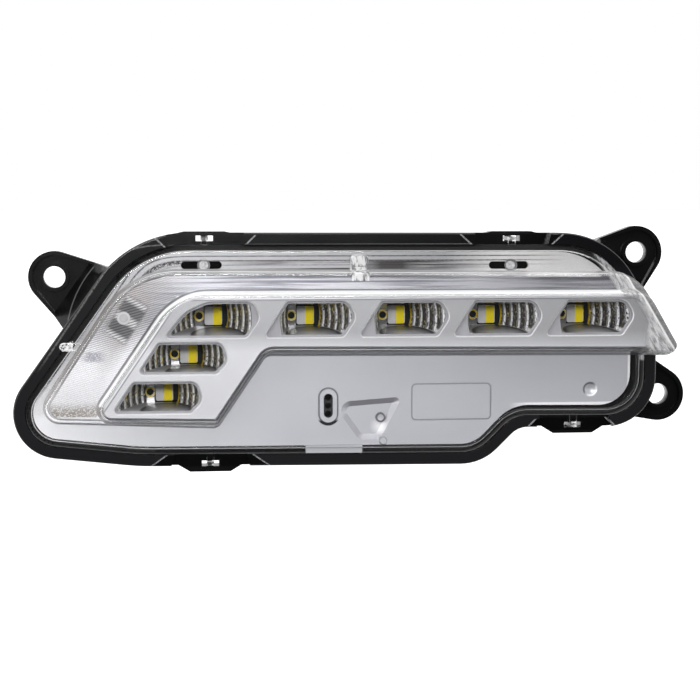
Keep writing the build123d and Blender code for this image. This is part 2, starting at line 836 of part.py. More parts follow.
for number, (place, shape, counts) in enumerate(zip(led_places, windows, flutes), start=1):
    room = bowl_room(place, shape, counts)
    with BuildPart() as optic:
        with BuildSketch(front(cup_front)):
            add(outline_face(shape, optic_flange_lip, place))
        extrude(amount=optic_flange)
        with BuildSketch(front(bowl_back)):
            add(outline_face(shape, -bowl_inset, place))
        extrude(amount=cup_front - bowl_back)
        add(room, mode=Mode.SUBTRACT)
        with BuildSketch(front(bowl_back)):
            with Locations((place[0] - bowl_hole_left, place[1])):
                Rectangle(2 * bowl_hole_left, 2 * bowl_back_half, align=(Align.MIN, Align.CENTER))
            with Locations((place[0] - flute_centre, place[1])):
                Circle(flute_centre + flute_starts[1], mode=Mode.INTERSECT)
            with Locations((place[0] + spot_place, place[1])):
                Circle(spot_radius)
        extrude(amount=bowl_floor, mode=Mode.SUBTRACT)
    write(optic, f"optic_{number}")

    with BuildPart() as led:
        with BuildSketch(front(board_front)):
            with Locations((place[0] + led_shift, place[1])):
                Rectangle(*led_size)
        extrude(amount=led_height)
        chamfer(led.edges().filter_by(Axis.Y), led_height / 2)
    write(led, f"led_{number}")

    with BuildPart() as phosphor:
        with BuildSketch(front(board_front + led_height)):
            with Locations(place):
                Rectangle(*phosphor_size)
        extrude(amount=phosphor_height)
    write(phosphor, f"phosphor_{number}")


# Boomerang board, thermal pad and finned heat sink behind the light sources
def board_face():
    """Outline shared by the board, the pad and the sink's plate."""
    with BuildSketch() as sketch:
        add(outline_face(band_outline, -board_inset))
        add(rim_face(cavity_in + seat_wall), mode=Mode.INTERSECT)
    return sketch.sketch


for name, back, thick in (
    ("led_board", board_back, board_thick),
    ("thermal_pad", sink_front, pad_thick),
):
    with BuildPart() as sheet:
        with BuildSketch(front(back)):
            add(board_face())
            with Locations(*sink_screw_places):
                Circle(screw_hole_radius, mode=Mode.SUBTRACT)
        extrude(amount=thick)
    write(sheet, name)

with BuildPart() as heat_sink:
    with BuildSketch(front(sink_back)):
        add(board_face())
        with Locations(*sink_screw_places):
            Circle(screw_hole_radius, mode=Mode.SUBTRACT)
    extrude(amount=sink_plate)
    with BuildSketch(front(sink_back)):
        with Locations((led_first[0] + 2 * led_pitch, led_first[1])):
            with GridLocations(fin_pitch, 0, 40, 1):
                Rectangle(fin_thick, 5 * led_pitch)
        add(board_face(), mode=Mode.INTERSECT)
        with Locations(*sink_screw_places):
            Circle(boss_radius + boss_clear, mode=Mode.SUBTRACT)
    extrude(amount=-fin_depth)
write(heat_sink, "heat_sink")


def screw_group(places, seat, length, sign):
    """Pan-head screws that stand on a seat height and run away from sign's side."""
    with BuildPart() as group:
        with BuildSketch(front(seat)):
            with Locations(*places):
                Circle(screw_head_radius)
        extrude(amount=sign * screw_head_height)
        with BuildSketch(front(seat)):
            with Locations(*places):
                Circle(screw_radius)
        extrude(amount=-sign * length)
        with BuildSketch(front(seat + sign * screw_head_height)):
            with Locations(*places):
                RegularPolygon(screw_drive, 6)
        extrude(amount=-sign * screw_drive_depth, mode=Mode.SUBTRACT)
    return group


write(screw_group(sink_screw_places, board_front, board_front - sink_back + screw_bite, 1), "sink_screws")


# Rear cover with the connector socket, its seal, pins and screws
socket_place = (bay_place[0] + socket_offset, bay_place[1])
cover_size = (bay_size[0] + 2 * cover_lap, bay_size[1] + 2 * cover_lap)
pin_places = [
    (socket_place[0] + (index - (pin_count - 1) / 2) * pin_pitch, socket_place[1])
    for index in range(pin_count)
]
socket_outer = (socket_inner[0] + 2 * socket_wall, socket_inner[1] + 2 * socket_wall)
post_reach = (driver_size[0] / 2 - driver_post_inset, driver_size[1] / 2 - driver_post_inset)
driver_posts = [
    (bay_place[0] + sx * post_reach[0], bay_place[1] + sz * post_reach[1])
    for sx in (-1, 1)
    for sz in (-1, 1)
]

with BuildPart() as cover_seal:
    with BuildSketch(front(seal_back)):
        with Locations(bay_place):
            RectangleRounded(cover_size[0] - 2 * seal_inset, cover_size[1] - 2 * seal_inset, bay_round)
            RectangleRounded(*bay_size, bay_round, mode=Mode.SUBTRACT)
        with Locations(*cover_screw_places):
            Circle(cover_pad_radius, mode=Mode.SUBTRACT)
    extrude(amount=seal_thick)
write(cover_seal, "cover_seal")

with BuildPart() as rear_cover:
    with BuildSketch(front(cover_back)):
        with Locations(bay_place):
            RectangleRounded(*cover_size, bay_round)
    extrude(amount=cover_thick)
    with BuildSketch(front(cover_back)):
        with Locations((bay_place[0] - socket_offset, bay_place[1])):
            with GridLocations(fin_pitch, 0, cover_rib_count, 1):
                Rectangle(cover_rib, bay_size[1])
    extrude(amount=-cover_rib)
    with BuildSketch(front(cover_back)):
        with Locations(socket_place):
            RectangleRounded(*socket_outer, bay_round)
            Rectangle(*socket_inner, mode=Mode.SUBTRACT)
        with Locations((socket_place[0], socket_place[1] + socket_inner[1] / 2)):
            Rectangle(*socket_key, align=(Align.CENTER, Align.MAX))
    extrude(amount=-socket_depth)
    with BuildSketch(front(seal_back)):
        with Locations(*driver_posts):
            Circle(driver_post_radius)
    extrude(amount=driver_lift)
    with BuildSketch(front(driver_back)):
        with Locations(*driver_posts):
            Circle(driver_pin_radius)
    extrude(amount=board_thick)
    with BuildSketch(front(seal_back)):
        with Locations(*cover_screw_places):
            Circle(cover_pad_radius - pin_gap)
    extrude(amount=seal_thick)
    with BuildSketch(front(cover_back)):
        with Locations(*cover_screw_places):
            Circle(screw_hole_radius)
        with Locations(*pin_places):
            Rectangle(pin_size[0] + 2 * pin_gap, pin_size[1] + 2 * pin_gap)
    extrude(amount=cover_thick + seal_thick, mode=Mode.SUBTRACT)
write(rear_cover, "rear_cover")
cover_screw_length = cover_thick + seal_thick + screw_bite
write(screw_group(cover_screw_places, cover_back, cover_screw_length, -1), "cover_screws")

with BuildPart() as socket_pins:
    with BuildSketch(front(driver_back)):
        with Locations(*pin_places):
            Rectangle(*pin_size)
    extrude(amount=-(driver_back - cover_back + pin_reach))
write(socket_pins, "socket_pins")


# Driver board and what is soldered on it
with BuildPart() as driver_board:
    with BuildSketch(front(driver_back)):
        with Locations(bay_place):
            Rectangle(*driver_size)
        with Locations(*driver_posts):
            Circle(driver_pin_radius + driver_pin_gap, mode=Mode.SUBTRACT)
    extrude(amount=board_thick)
write(driver_board, "driver_board")

inductor_place = (bay_place[0] - driver_size[0] / 4, bay_place[1])
with BuildPart() as driver_coil:
    with BuildSketch(front(driver_front)):
        with Locations(inductor_place):
            Circle(inductor_radius)
            Circle(inductor_core, mode=Mode.SUBTRACT)
    extrude(amount=inductor_height)
write(driver_coil, "driver_coil")

with BuildPart() as driver_capacitors:
    with BuildSketch(front(driver_front)):
        with Locations(bay_place):
            with GridLocations(capacitor_pitch, 0, 2, 1):
                Circle(capacitor_radius)
    extrude(amount=capacitor_height)
write(driver_capacitors, "driver_capacitors")

with BuildPart() as driver_chip:
    with BuildSketch(front(driver_front)):
        with Locations((bay_place[0] + driver_size[0] / 4 + chip_size[0] / 2, bay_place[1])):
            Rectangle(chip_size[0], chip_size[1])
    extrude(amount=chip_size[2])
write(driver_chip, "driver_chip")


# Flat flexible link from the driver board up to the lower edge of the light board
link_low = bay_place[1] + driver_size[1] / 2
link_high = band_outline[3][1] + board_inset
with BuildPart() as flex_link:
    with BuildSketch(Plane.YZ.offset(link_place_x)):
        with BuildLine():
            Polyline(
                (-driver_front, link_low - link_width / 2),
                (-driver_front, link_low),
                (-board_front, link_high - link_width / 4),
                (-board_front, link_high + link_width / 4),
                (-board_front - link_thick, link_high + link_width / 4),
                (-board_front - link_thick, link_high - link_width / 4 - link_thick),
                (-driver_front - link_thick, link_low - link_thick),
                (-driver_front - link_thick, link_low - link_width / 2),
                close=True,
            )
        make_face()
    extrude(amount=link_width / 2, both=True)
write(flex_link, "flex_link")


# Breather cap over the spigot
with BuildPart() as vent_cap:
    cap_radius = spigot_radius + cap_gap + cap_wall
    spigot_end = tub_back - spigot_length
    with BuildSketch(front(spigot_end)):
        with Locations(vent_place):
            Circle(cap_radius)
    extrude(amount=-cap_wall)
    with BuildSketch(front(spigot_end)):
        with Locations(vent_place):
            Circle(cap_radius)
            Circle(spigot_radius + cap_gap, mode=Mode.SUBTRACT)
    extrude(amount=spigot_length - cap_skirt_gap)
write(vent_cap, "vent_cap")
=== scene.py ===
# %% [markdown]
# This lesson dresses the solids of a car's daytime running light: a black moulded housing, a clear
# stepped lens, and a silver bezel with seven fluted optics. The solids carry every shape that has a
# size, so no new piece is modelled here. They get their finishes, the marks that are too fine for a
# mesh, the light and the camera.

# %% Load the solids
import math

import bpy
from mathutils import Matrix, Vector


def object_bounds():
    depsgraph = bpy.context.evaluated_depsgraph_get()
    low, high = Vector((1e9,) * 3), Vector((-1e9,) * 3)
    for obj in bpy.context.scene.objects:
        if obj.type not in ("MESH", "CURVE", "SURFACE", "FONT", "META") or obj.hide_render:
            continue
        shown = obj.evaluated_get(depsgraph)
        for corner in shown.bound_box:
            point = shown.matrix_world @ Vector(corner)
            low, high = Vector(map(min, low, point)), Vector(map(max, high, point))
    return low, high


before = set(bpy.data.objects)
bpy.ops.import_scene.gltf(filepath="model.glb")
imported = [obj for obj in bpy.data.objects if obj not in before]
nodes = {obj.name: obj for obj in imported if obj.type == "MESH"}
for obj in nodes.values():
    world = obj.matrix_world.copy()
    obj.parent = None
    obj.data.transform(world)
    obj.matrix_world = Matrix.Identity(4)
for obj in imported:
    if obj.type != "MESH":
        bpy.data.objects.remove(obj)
solid_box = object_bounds()
print("solids:", len(nodes))

# %% [markdown]
# The lamp is seen almost straight on, from a little to its left and a little above. A camera could be
# turned by hand until the view looks right. Here it is worked out from the point that it looks at, its
# distance and two angles, so that each can be changed by itself. From 0.7 m the rim looks as much
# nearer than the ears as it should, and a lens of about 86 mm takes in a field 0.294 m wide.

# %% Camera
SIGHT = Vector((0.12354, -0.020, -0.03031))
DISTANCE = 0.7
AZIMUTH = math.radians(-6.0)
ELEVATION = math.radians(5.0)
FIELD_WIDTH = 0.294
SENSOR_WIDTH = 36.0

away = Vector((
    math.sin(AZIMUTH) * math.cos(ELEVATION),
    -math.cos(AZIMUTH) * math.cos(ELEVATION),
    math.sin(ELEVATION),
))
camera_data = bpy.data.cameras.new("camera")
camera_data.sensor_width = SENSOR_WIDTH
camera_data.lens = SENSOR_WIDTH * DISTANCE / FIELD_WIDTH
camera = bpy.data.objects.new("camera", camera_data)
camera.location = SIGHT + away * DISTANCE
camera.rotation_euler = (-away).to_track_quat("-Z", "Y").to_euler()
bpy.context.scene.collection.objects.link(camera)
bpy.context.scene.camera = camera
bpy.context.scene.view_settings.view_transform = "Standard"
print("camera at", [round(c, 3) for c in camera.location])

# %% [markdown]
# A finish changes from place to place by masks, numbers from 0 to 1 that say where a tone shows. Node
# trees get long when every Math node is wired by hand. This class wraps a socket, so that a mask can
# be written as ordinary arithmetic.

# %% Masks as arithmetic
class Value:
    """A number that varies over a surface, as one socket of a node tree."""

    def __init__(self, tree, socket):
        self.tree = tree
        self.socket = socket

    def math(self, operation, *others, clamp=False):
        node = self.tree.nodes.new("ShaderNodeMath")
        node.operation = operation
        node.use_clamp = clamp
        for slot, item in zip(node.inputs, (self, *others)):
            if isinstance(item, Value):
                self.tree.links.new(item.socket, slot)
            else:
                slot.default_value = item
        return Value(self.tree, node.outputs[0])

    def __add__(self, other):
        return self.math("ADD", other)

    def __radd__(self, other):
        return self.math("ADD", other)

    def __sub__(self, other):
        return self.math("SUBTRACT", other)

    def __rsub__(self, other):
        return self.math("MULTIPLY", -1.0).math("ADD", other)

    def __mul__(self, other):
        return self.math("MULTIPLY", other)

    def __rmul__(self, other):
        return self.math("MULTIPLY", other)

    def __truediv__(self, other):
        return self.math("DIVIDE", other)

    def abs(self):
        return self.math("ABSOLUTE")

    def clamp(self):
        return self.math("ADD", 0.0, clamp=True)

    def most(self, other):
        return self.math("MAXIMUM", other)

    def blend_most(self, other, radius):
        """The larger of two, with the change from one to the other rounded off."""
        return self.math("SMOOTH_MAX", other, radius)

    def above(self, edge, soft):
        """0 below an edge and 1 above it, with a soft step between."""
        return ((self - edge) / soft).math("ADD", 0.5, clamp=True)

    def below(self, edge, soft):
        return 1 - self.above(edge, soft)

    def between(self, low, high, soft):
        """1 between two edges and 0 outside them."""
        return self.above(low, soft) * self.below(high, soft)

    def from_point(self, other, here, there):
        """Distance from a point, for a pair of coordinates."""
        return ((self - here) * (self - here) + (other - there) * (other - there)).math("SQRT")


print("masks: above, below or between edges, or from a point")

# %% [markdown]
# Any node that isn't plain arithmetic comes from one method. It takes the node's type, its settings,
# and a value or a link for each of its sockets, by name or, where names repeat, by number. The same
# class serves the materials and the world.

# %% Node trees
class Nodes:
    """A node tree, with one method that adds any node to it."""

    def __init__(self, tree):
        self.tree = tree

    def set(self, node, socket, value):
        """Link a socket to what varies, or give it a plain value."""
        if isinstance(value, Value):
            value = value.socket
        if isinstance(value, bpy.types.NodeSocket):
            self.tree.links.new(value, node.inputs[socket])
        else:
            node.inputs[socket].default_value = value

    def node(self, kind, settings=None, **sockets):
        """Add a node: its settings first, then its sockets, where i2 is socket number 2."""
        node = self.tree.nodes.new(kind)
        for key, value in (settings or {}).items():
            setattr(node, key, value)
        for key, value in sockets.items():
            numbered = key[0] == "i" and key[1:].isdigit()
            self.set(node, int(key[1:]) if numbered else key.replace("_", " "), value)
        return node.outputs

    def value(self, socket):
        return Value(self.tree, socket)

    def split(self, vector):
        """The x, y and z of a vector, as three values."""
        parts = self.node("ShaderNodeSeparateXYZ", Vector=vector)
        return [self.value(parts[axis]) for axis in "XYZ"]


print("nodes: one method adds them all")

# %% [markdown]
# A finish is a material with one Principled shader. It could read a map that is wrapped round the
# piece, but a moulding's marks lie at places one can measure, so these finishes read the place itself,
# in millimetres, and the way that the surface faces.

# %% Finishes
MM = 1000


class Finish(Nodes):
    """A material with one Principled shader, and short ways to add what varies on it."""

    def __init__(self, name, color, roughness, metallic=0.0, **settings):
        self.material = bpy.data.materials.new(name)
        self.material.use_nodes = True
        super().__init__(self.material.node_tree)
        self.shader = self.tree.nodes["Principled BSDF"]
        self.paint((*color, 1.0))
        self.gloss(roughness)
        self.metal(metallic)
        for socket, value in settings.items():
            self.set(self.shader, socket.replace("_", " "), value)
        self.place = self.node("ShaderNodeTexCoord")["Object"]

    def paint(self, color):
        self.set(self.shader, "Base Color", color)

    def gloss(self, roughness):
        self.set(self.shader, "Roughness", roughness)

    def metal(self, share):
        self.set(self.shader, "Metallic", share)

    def axes(self):
        """The x and z across the face, and the height towards the front, in millimetres."""
        x, y, z = self.split(self.place)
        return x * MM, z * MM, y * -MM

    def facing(self):
        """How far the surface turns sideways, to the front and up, each from -1 to 1."""
        x, y, z = self.split(self.node("ShaderNodeNewGeometry")["Normal"])
        return x, y * -1, z

    def noise(self, per_mm, detail=3.0, roughness=0.55, stretch=(1, 1, 1), turn=0.0):
        """A cloudy mask, which may be turned about the y axis and then stretched."""
        where = self.place
        if turn:
            where = self.node("ShaderNodeMapping", Vector=where, Rotation=(0, turn, 0))["Vector"]
        where = self.node("ShaderNodeMapping", Vector=where, Scale=stretch)["Vector"]
        return self.value(self.node(
            "ShaderNodeTexNoise", Vector=where, Scale=per_mm * MM, Detail=detail, Roughness=roughness
        )["Fac"])

    def bumped(self, height, depth_mm, strength):
        return self.node(
            "ShaderNodeBump", Height=height, Distance=depth_mm / MM, Strength=strength
        )["Normal"]

    def bump(self, height, depth_mm, strength):
        self.set(self.shader, "Normal", self.bumped(height, depth_mm, strength))

    def mix(self, mask, low, high):
        """Blend two colours by a mask."""
        low, high = ((*c, 1.0) if isinstance(c, tuple) else c for c in (low, high))
        return self.node("ShaderNodeMix", {"data_type": "RGBA"}, i0=mask, i6=low, i7=high)[2]

    def layers(self, tone, *coats):
        """Lay tones over a first one, each where its mask lets it show."""
        for mask, coat in coats:
            tone = self.mix(mask, tone, coat)
        return tone

    def blend(self, mask, low, high):
        """Blend two shaders by a mask."""
        return self.node("ShaderNodeMixShader", i0=mask, i1=low, i2=high)["Shader"]

    def show(self, shader):
        """Let a shader other than the first one reach the surface."""
        self.set(self.tree.nodes["Material Output"], "Surface", shader)


print("finishes: places read at", MM, "mm to a metre")

# %% [markdown]
# Most tones of this lamp are greys, some with a trace of blue. A piece wears its finish all over, so
# the material takes the first slot of the mesh, and what differs from place to place is left to masks.

# %% Greys and dressing
def grey(level, blue=0.0):
    """A grey with a little more blue than red and green."""
    return (level, level, level + blue)


def dress(finish, *names):
    """Give CAD nodes a finish."""
    for name in names:
        slots = nodes[name].data.materials
        slots.clear()
        slots.append(finish.material)
    print(finish.material.name, "on", ", ".join(names))


print("grey of 0.5:", grey(0.5))

# %% [markdown]
# The tub, its rim and ears are one moulding of black plastic with a fine spark-eroded grain. The grain
# could be carved into the mesh, but it is far too fine for that. A noise a few tenths of a millimetre
# wide gives it its bump, and a wider one shifts the gloss a little, as handling and mould flow do.

# %% Housing grain
housing_black = Finish("housing_black", (0.003, 0.003, 0.0033), 0.2, Specular_IOR_Level=0.3)
x, z, height = housing_black.axes()
_, to_front, _ = housing_black.facing()
grain = housing_black.noise(per_mm=2.6, detail=2.0)
cloud = housing_black.noise(per_mm=0.05, detail=2.0)
patchy = housing_black.noise(per_mm=1.2).above(0.42, soft=0.2)
housing_black.gloss(0.11 + 0.06 * grain + 0.06 * cloud)
housing_black.bump(grain, depth_mm=0.03, strength=0.25)
tub_tone = housing_black.mix(cloud, grey(0.0022, 0.0004), grey(0.0042, 0.0005))
print("housing grain made")

# %% [markdown]
# The whole lamp follows a step that bends like a boomerang: a level band, and a leg that drops to the
# left. A thin pale line on the rim runs beside it. A strip of mesh would stand proud of the rim, so the
# line is painted, by its distance from the step. Left of the leg it lies farther out, so that distance
# counts for less there.

# %% Rim line
LEG_TOP = (50.0, -4.2)
LEG_WAY = (-0.8275, 0.5616)
STEP_BEND = 14.0
RIM_HEIGHT = 17.0
RIM_LINE = (17.95, 18.45)
RIM_LINE_LOW = -34.0
RIM_LINE_RIGHT = 190.0
RIM_LEG_SHARE = 0.67


def past_line(x, z, start, way):
    """Distance past a line through a start point, measured along a direction."""
    return (x - start[0]) * way[0] + (z - start[1]) * way[1]


def outside_step(x, z, leg_share, bend):
    """Distance outside the leg and the band, rounded where they meet."""
    beside_leg = past_line(x, z, LEG_TOP, LEG_WAY)
    return (beside_leg * leg_share).blend_most(z - LEG_TOP[1], bend)


from_step = outside_step(x, z, RIM_LEG_SHARE, STEP_BEND)
rim = height.above(RIM_HEIGHT, soft=0.5) * to_front.above(0.8, soft=0.2)
rim_line = rim * from_step.between(*RIM_LINE, soft=0.2)
rim_line = rim_line * z.above(RIM_LINE_LOW, soft=10.0) * x.below(RIM_LINE_RIGHT, soft=8.0)
rim_tone = housing_black.mix(z.above(0.0, soft=12.0), grey(0.0095, 0.001), grey(0.0028, 0.0006))
print("rim line", RIM_LINE, "mm outside the step")

# %% [markdown]
# The rim dips at each of the four clips, and the ends of a dip lean outward and catch the light. The
# dips are in the solid. What they lack is the light on their ends, which is painted as a highlight, and
# the shade inside them, which is painted dark. A dip's own outline finds both: the distance from the
# clip's middle, less half a width that grows as the dip gets deeper.

# %% Dips of the rim
CLIPS = ((62.8, 16.3), (192.3, 16.3), (64.6, -76.9), (218.8, -63.8))
# For each clip: the z where its dip starts, the way it goes, half its width there, how fast it widens.
DIPS = ((12.4, 1, 15.5, 1.05), (12.6, 1, 15.8, 1.12), (-73.8, -1, 17.9, 1.45), (-60.6, -1, 15.6, 1.0))
DIP_DEPTH = 5.5
DIP_HEIGHT = 12.0
LIP = (-0.4, 0.5)
dip_shade = 0.0
lip_highlight = 0.0
for (clip_x, _), (start, way, half, lean) in zip(CLIPS, DIPS):
    depth = (z - start) * way
    past_end = (x - clip_x).abs() - depth * lean - half
    there = depth.between(0.0, DIP_DEPTH, soft=0.3)
    dip_shade = past_end.below(0.0, soft=0.3) * there + dip_shade
    lip_highlight = past_end.between(*LIP, soft=0.3) * there + lip_highlight
on_dip = height.above(DIP_HEIGHT, soft=0.5)
print("dips:", len(DIPS))

# %% [markdown]
# A painted highlight arcs across the left ear where its web begins, and a painted highlight makes the
# moulding's rounded edges a little paler than its faces. Then all the tones are laid over one another.
# Order matters here, as it does with paint: what is laid last covers what lies below.

# %% Ear arc and housing paint
ARC_MIDDLE = (50.9, -25.9)
ARC_RADIUS = 45.7
ARC_HALF = 0.25
EAR_RIGHT = 17.0
EAR_Z = (-18.0, 4.5)
EAR_HEIGHT = 15.0
WALL_HEIGHTS = (-4.0, 18.5)
arc_highlight = (x.from_point(z, *ARC_MIDDLE) - ARC_RADIUS).abs().below(ARC_HALF, soft=0.2)
arc_highlight = arc_highlight * x.below(EAR_RIGHT, soft=1.0) * z.between(*EAR_Z, soft=1.0)
arc_highlight = arc_highlight * height.below(EAR_HEIGHT, soft=0.5)
edge = to_front.between(0.25, 0.92, soft=0.1) * (1 - height.between(*WALL_HEIGHTS, soft=0.3))
# Painted shade darkens the dips; painted highlights light the dips' ends, the rounded edges and the
# arc.
housing_black.paint(housing_black.layers(
    tub_tone,
    (rim, rim_tone),
    (rim_line * patchy, (0.10, 0.098, 0.095)),
    ((dip_shade * on_dip).clamp(), grey(0.0008, 0.0001)),
    (edge * (0.4 + cloud), grey(0.035, 0.003)),
    ((lip_highlight * patchy * on_dip).clamp(), grey(0.22, 0.01)),
    (arc_highlight, grey(0.07, 0.002)),
))
dress(housing_black, "housing", "rear_cover")

# %% [markdown]
# A moulded edge is never quite sharp. Rounding every edge in the solid would cost many faces, so a
# narrow bevel does it here, and catches a thin line of light along the sharp edges of the housing and
# the bezel. The meshes come with a seam at each face, so they are welded first.

# %% Soft edges
EDGE_WIDTHS = {"housing": 0.45, "bezel": 0.35}
WELD_REACH = 0.002
SHARP = math.radians(40)
for name, width in EDGE_WIDTHS.items():
    weld = nodes[name].modifiers.new("weld", "WELD")
    weld.merge_threshold = WELD_REACH / MM
    bevel = nodes[name].modifiers.new("edges", "BEVEL")
    bevel.width = width / MM
    bevel.segments = 2
    bevel.limit_method = "ANGLE"
    bevel.angle_limit = SHARP
    bevel.harden_normals = True
    print("edges of the", name, "rounded by", width, "mm")

# %% [markdown]
# The lens is a polished clear moulding. Glass all over would bend everything behind it, so its steep
# walls get a grey satin with painted light and shade instead. The walls are found first, by the way
# they face: those that face up are painted pale as lit, those that face down painted dark as shaded,
# and those that face left a brownish grey. Painted highlights run along the top ridge and the ring's
# rounded edges. The hood over the band has a painted dark foot and a painted white highlight on its
# crest, and its foot reaches higher where it turns to the left.

# %% Lens walls
SKIRT_HEIGHT = 17.6
RING_HEIGHTS = (18.4, 20.8)
HOOD_HEIGHT = 25.6
HOOD_CREST = 27.8
HOOD_RISE = 1.6
lens_clear = Finish("lens_clear", (0.97, 0.975, 0.98), 0.02, IOR=1.5, Transmission_Weight=1.0)
x, z, height = lens_clear.axes()
aside, to_front, up = lens_clear.facing()
turned = 1 - to_front.abs()
steep = turned.above(0.3, soft=0.35)
skirt = height.below(SKIRT_HEIGHT, soft=0.1)
ridge_highlight = up.above(0.8, soft=0.15) * to_front.between(0.3, 0.9, soft=0.1)
ring_highlight = height.between(*RING_HEIGHTS, soft=0.3) * to_front.between(0.45, 0.94, soft=0.1)
hood = up.above(0.3, soft=0.1) * height.above(HOOD_HEIGHT, soft=0.2) * steep
hood_height = height - aside.below(-0.4, soft=0.3) * HOOD_RISE
wall_light_and_shade = lens_clear.layers(
    lens_clear.mix(up.above(0.2, soft=0.6), grey(0.07, 0.005), grey(0.34, 0.005)),
    (aside.below(-0.4, soft=0.4), (0.30, 0.285, 0.275)),
    (ridge_highlight, grey(0.80, 0.01)),
    (ring_highlight, grey(0.50, 0.01)),
    (hood, lens_clear.mix(hood_height.above(HOOD_CREST, soft=1.2), grey(0.10, 0.01), grey(0.88, 0.01))),
)
print("lens walls toned, skirt below", SKIRT_HEIGHT, "mm")

# %% [markdown]
# At the right the lens overhangs the rim as a wing, crinkled along its length, with a pale line and a
# darker border outside it. Crinkles this fine are a noise, turned to the wing's slant and stretched
# along it, which serves as tone and as bump.

# %% Wing
WING_SLANT = (0.854, 0.520)
WING_ANGLE = math.radians(31.3)
WING_START = 248.0
WING_INNER = 203.0
WING_TOP = -8.0
WING_TOP_INNER = 199.4
WING_LOW = -36.0
WING_HEIGHT = 19.0
WING_EDGE = 206.2
WING_LINE = (205.4, WING_EDGE)
slanted = past_line(x, z, (0.0, 0.0), WING_SLANT)
wing = x.above(WING_START, soft=2.0).most(slanted.above(WING_INNER, soft=2.0))
wing = wing.most(slanted.above(WING_TOP_INNER, soft=1.5) * z.above(WING_TOP, soft=2.0))
wing = wing * height.above(WING_HEIGHT, soft=0.4) * z.above(WING_LOW, soft=1.0)
wing_edge = wing * slanted.above(WING_EDGE, soft=0.5)
wing_line = wing * slanted.between(*WING_LINE, soft=0.2)
crinkle = lens_clear.noise(
    per_mm=0.9, detail=5.0, roughness=0.7, stretch=(1.0, 0.4, 0.22), turn=WING_ANGLE
)
fleck = lens_clear.noise(per_mm=1.1, detail=2.0)
wing_tone = lens_clear.layers(
    lens_clear.mix(crinkle.above(0.5, soft=0.16), grey(0.18, 0.005), grey(0.62, 0.005)),
    (wing_line, grey(0.76)),
    (wing_edge, lens_clear.mix(fleck.above(0.5, soft=0.4), grey(0.11, 0.005), grey(0.22, 0.005))),
)
print("wing from x", WING_START, "mm")

# %% [markdown]
# Three round pips stand on the lens, each before a slot of the bezel, and four clips hang from its
# skirt, each with a dark gap in its middle. All of them are solid already. Each pip gets painted
# glints and a rim painted dark as shade. The skirt is painted dark, for the shaded black channel seen
# through it, and the clips white, for the bright backdrop seen through them. All this is painted at
# the same places, in two loops.

# %% Pips and clips
SLOT = (29.6, -15.9)
PIPS = ((62.6, 5.4, 16.0), (192.3, 5.0, 16.0), (*SLOT, 21.0))
PIP_RADIUS = 2.7
PIP_RIM = 0.8
PIP_HEIGHT = 2.1
CLIP_HALF = (3.4, 2.0)
CLIP_GAP = 0.9
pip = 0.0
pip_rim = 0.0
for pip_x, pip_z, foot in PIPS:
    from_pip = x.from_point(z, pip_x, pip_z)
    at_height = height.between(foot, foot + PIP_HEIGHT, soft=0.1)
    pip = from_pip.below(PIP_RADIUS, soft=0.2) * at_height + pip
    pip_rim = from_pip.between(PIP_RADIUS - PIP_RIM, PIP_RADIUS, soft=0.2) + pip_rim
clip = 0.0
clip_gap = 0.0
for clip_x, clip_z in CLIPS:
    level = (z - clip_z).abs().below(CLIP_HALF[1], soft=0.1)
    clip = (x - clip_x).abs().below(CLIP_HALF[0], soft=0.1) * level + clip
    clip_gap = (x - clip_x).abs().below(CLIP_GAP, soft=0.2) * level + clip_gap
on_skirt = skirt * (1 - pip)
pip_glints_and_rim = lens_clear.layers(
    lens_clear.mix(fleck.above(0.5, soft=0.3), grey(0.40, 0.01), grey(0.70, 0.01)),
    (pip_rim.clamp(), grey(0.16, 0.005)),
)
skirt_light_and_shade = lens_clear.layers(grey(0.05), (clip.clamp(), grey(0.95)), (clip_gap.clamp(), grey(0.06)))
print("pips:", len(PIPS), "clips:", len(CLIPS))

# %% [markdown]
# Before the left slot the lens has a hatched field that veils it, with the pale disc of the pip in
# its middle. The hatch is dark along the slot's two halves, painted shade for the shadowed slot seen
# through it, and pale between and beyond them. Ridges this fine are too many for the mesh, so they are
# drawn as stripes: a distance across them, divided by their pitch, of which only the fraction is kept.

# %% Veil before the slot
SLOT_WAY = (0.545, 0.839)
SLOT_SHIFT = 1.2
SLOT_FIELD = (6.9, 5.0)
VEIL_MARGIN = 2.2
VEIL_PITCH = 1.1
HATCH_WAY = (0.28, -0.96)
FRONT_HEIGHT = 24.5


def slot_axes(x, z):
    """Distances along and across the left slot, from the middle of its field."""
    along = past_line(x, z, SLOT, SLOT_WAY)
    across = past_line(x, z, SLOT, (SLOT_WAY[1], -SLOT_WAY[0]))
    return along.abs(), (across - SLOT_SHIFT).abs()


def stripes(x, z, way, pitch):
    """How far across its stripe a place is, from 0 to 1."""
    return (past_line(x, z, (0.0, 0.0), way) / pitch).math("FRACT")


slot_along, slot_across = slot_axes(x, z)
from_disc = x.from_point(z, *SLOT)
on_front = height.above(FRONT_HEIGHT, soft=0.5) * (1 - steep)
disc = from_disc.below(PIP_RADIUS, soft=0.3) * on_front
veil = slot_along.below(SLOT_FIELD[0] + VEIL_MARGIN, soft=1.4)
veil = veil * slot_across.below(SLOT_FIELD[1], soft=1.4) * on_front * (1 - disc)
weave = stripes(x, z, HATCH_WAY, VEIL_PITCH).above(0.5, soft=0.5)
veil_and_slot_shade = lens_clear.mix(
    slot_along.between(1.6, SLOT_FIELD[0], soft=1.6),
    lens_clear.mix(weave, grey(0.60, 0.01), grey(0.14, 0.005)),
    lens_clear.mix(weave, grey(0.13, 0.005), grey(0.03, 0.002)),
)
disc_rim = from_disc.between(1.8, PIP_RADIUS, soft=0.3)
disc_tone = lens_clear.mix(disc_rim, grey(0.36, 0.01), grey(0.58, 0.01))
print("veil of", VEIL_PITCH, "mm stripes")

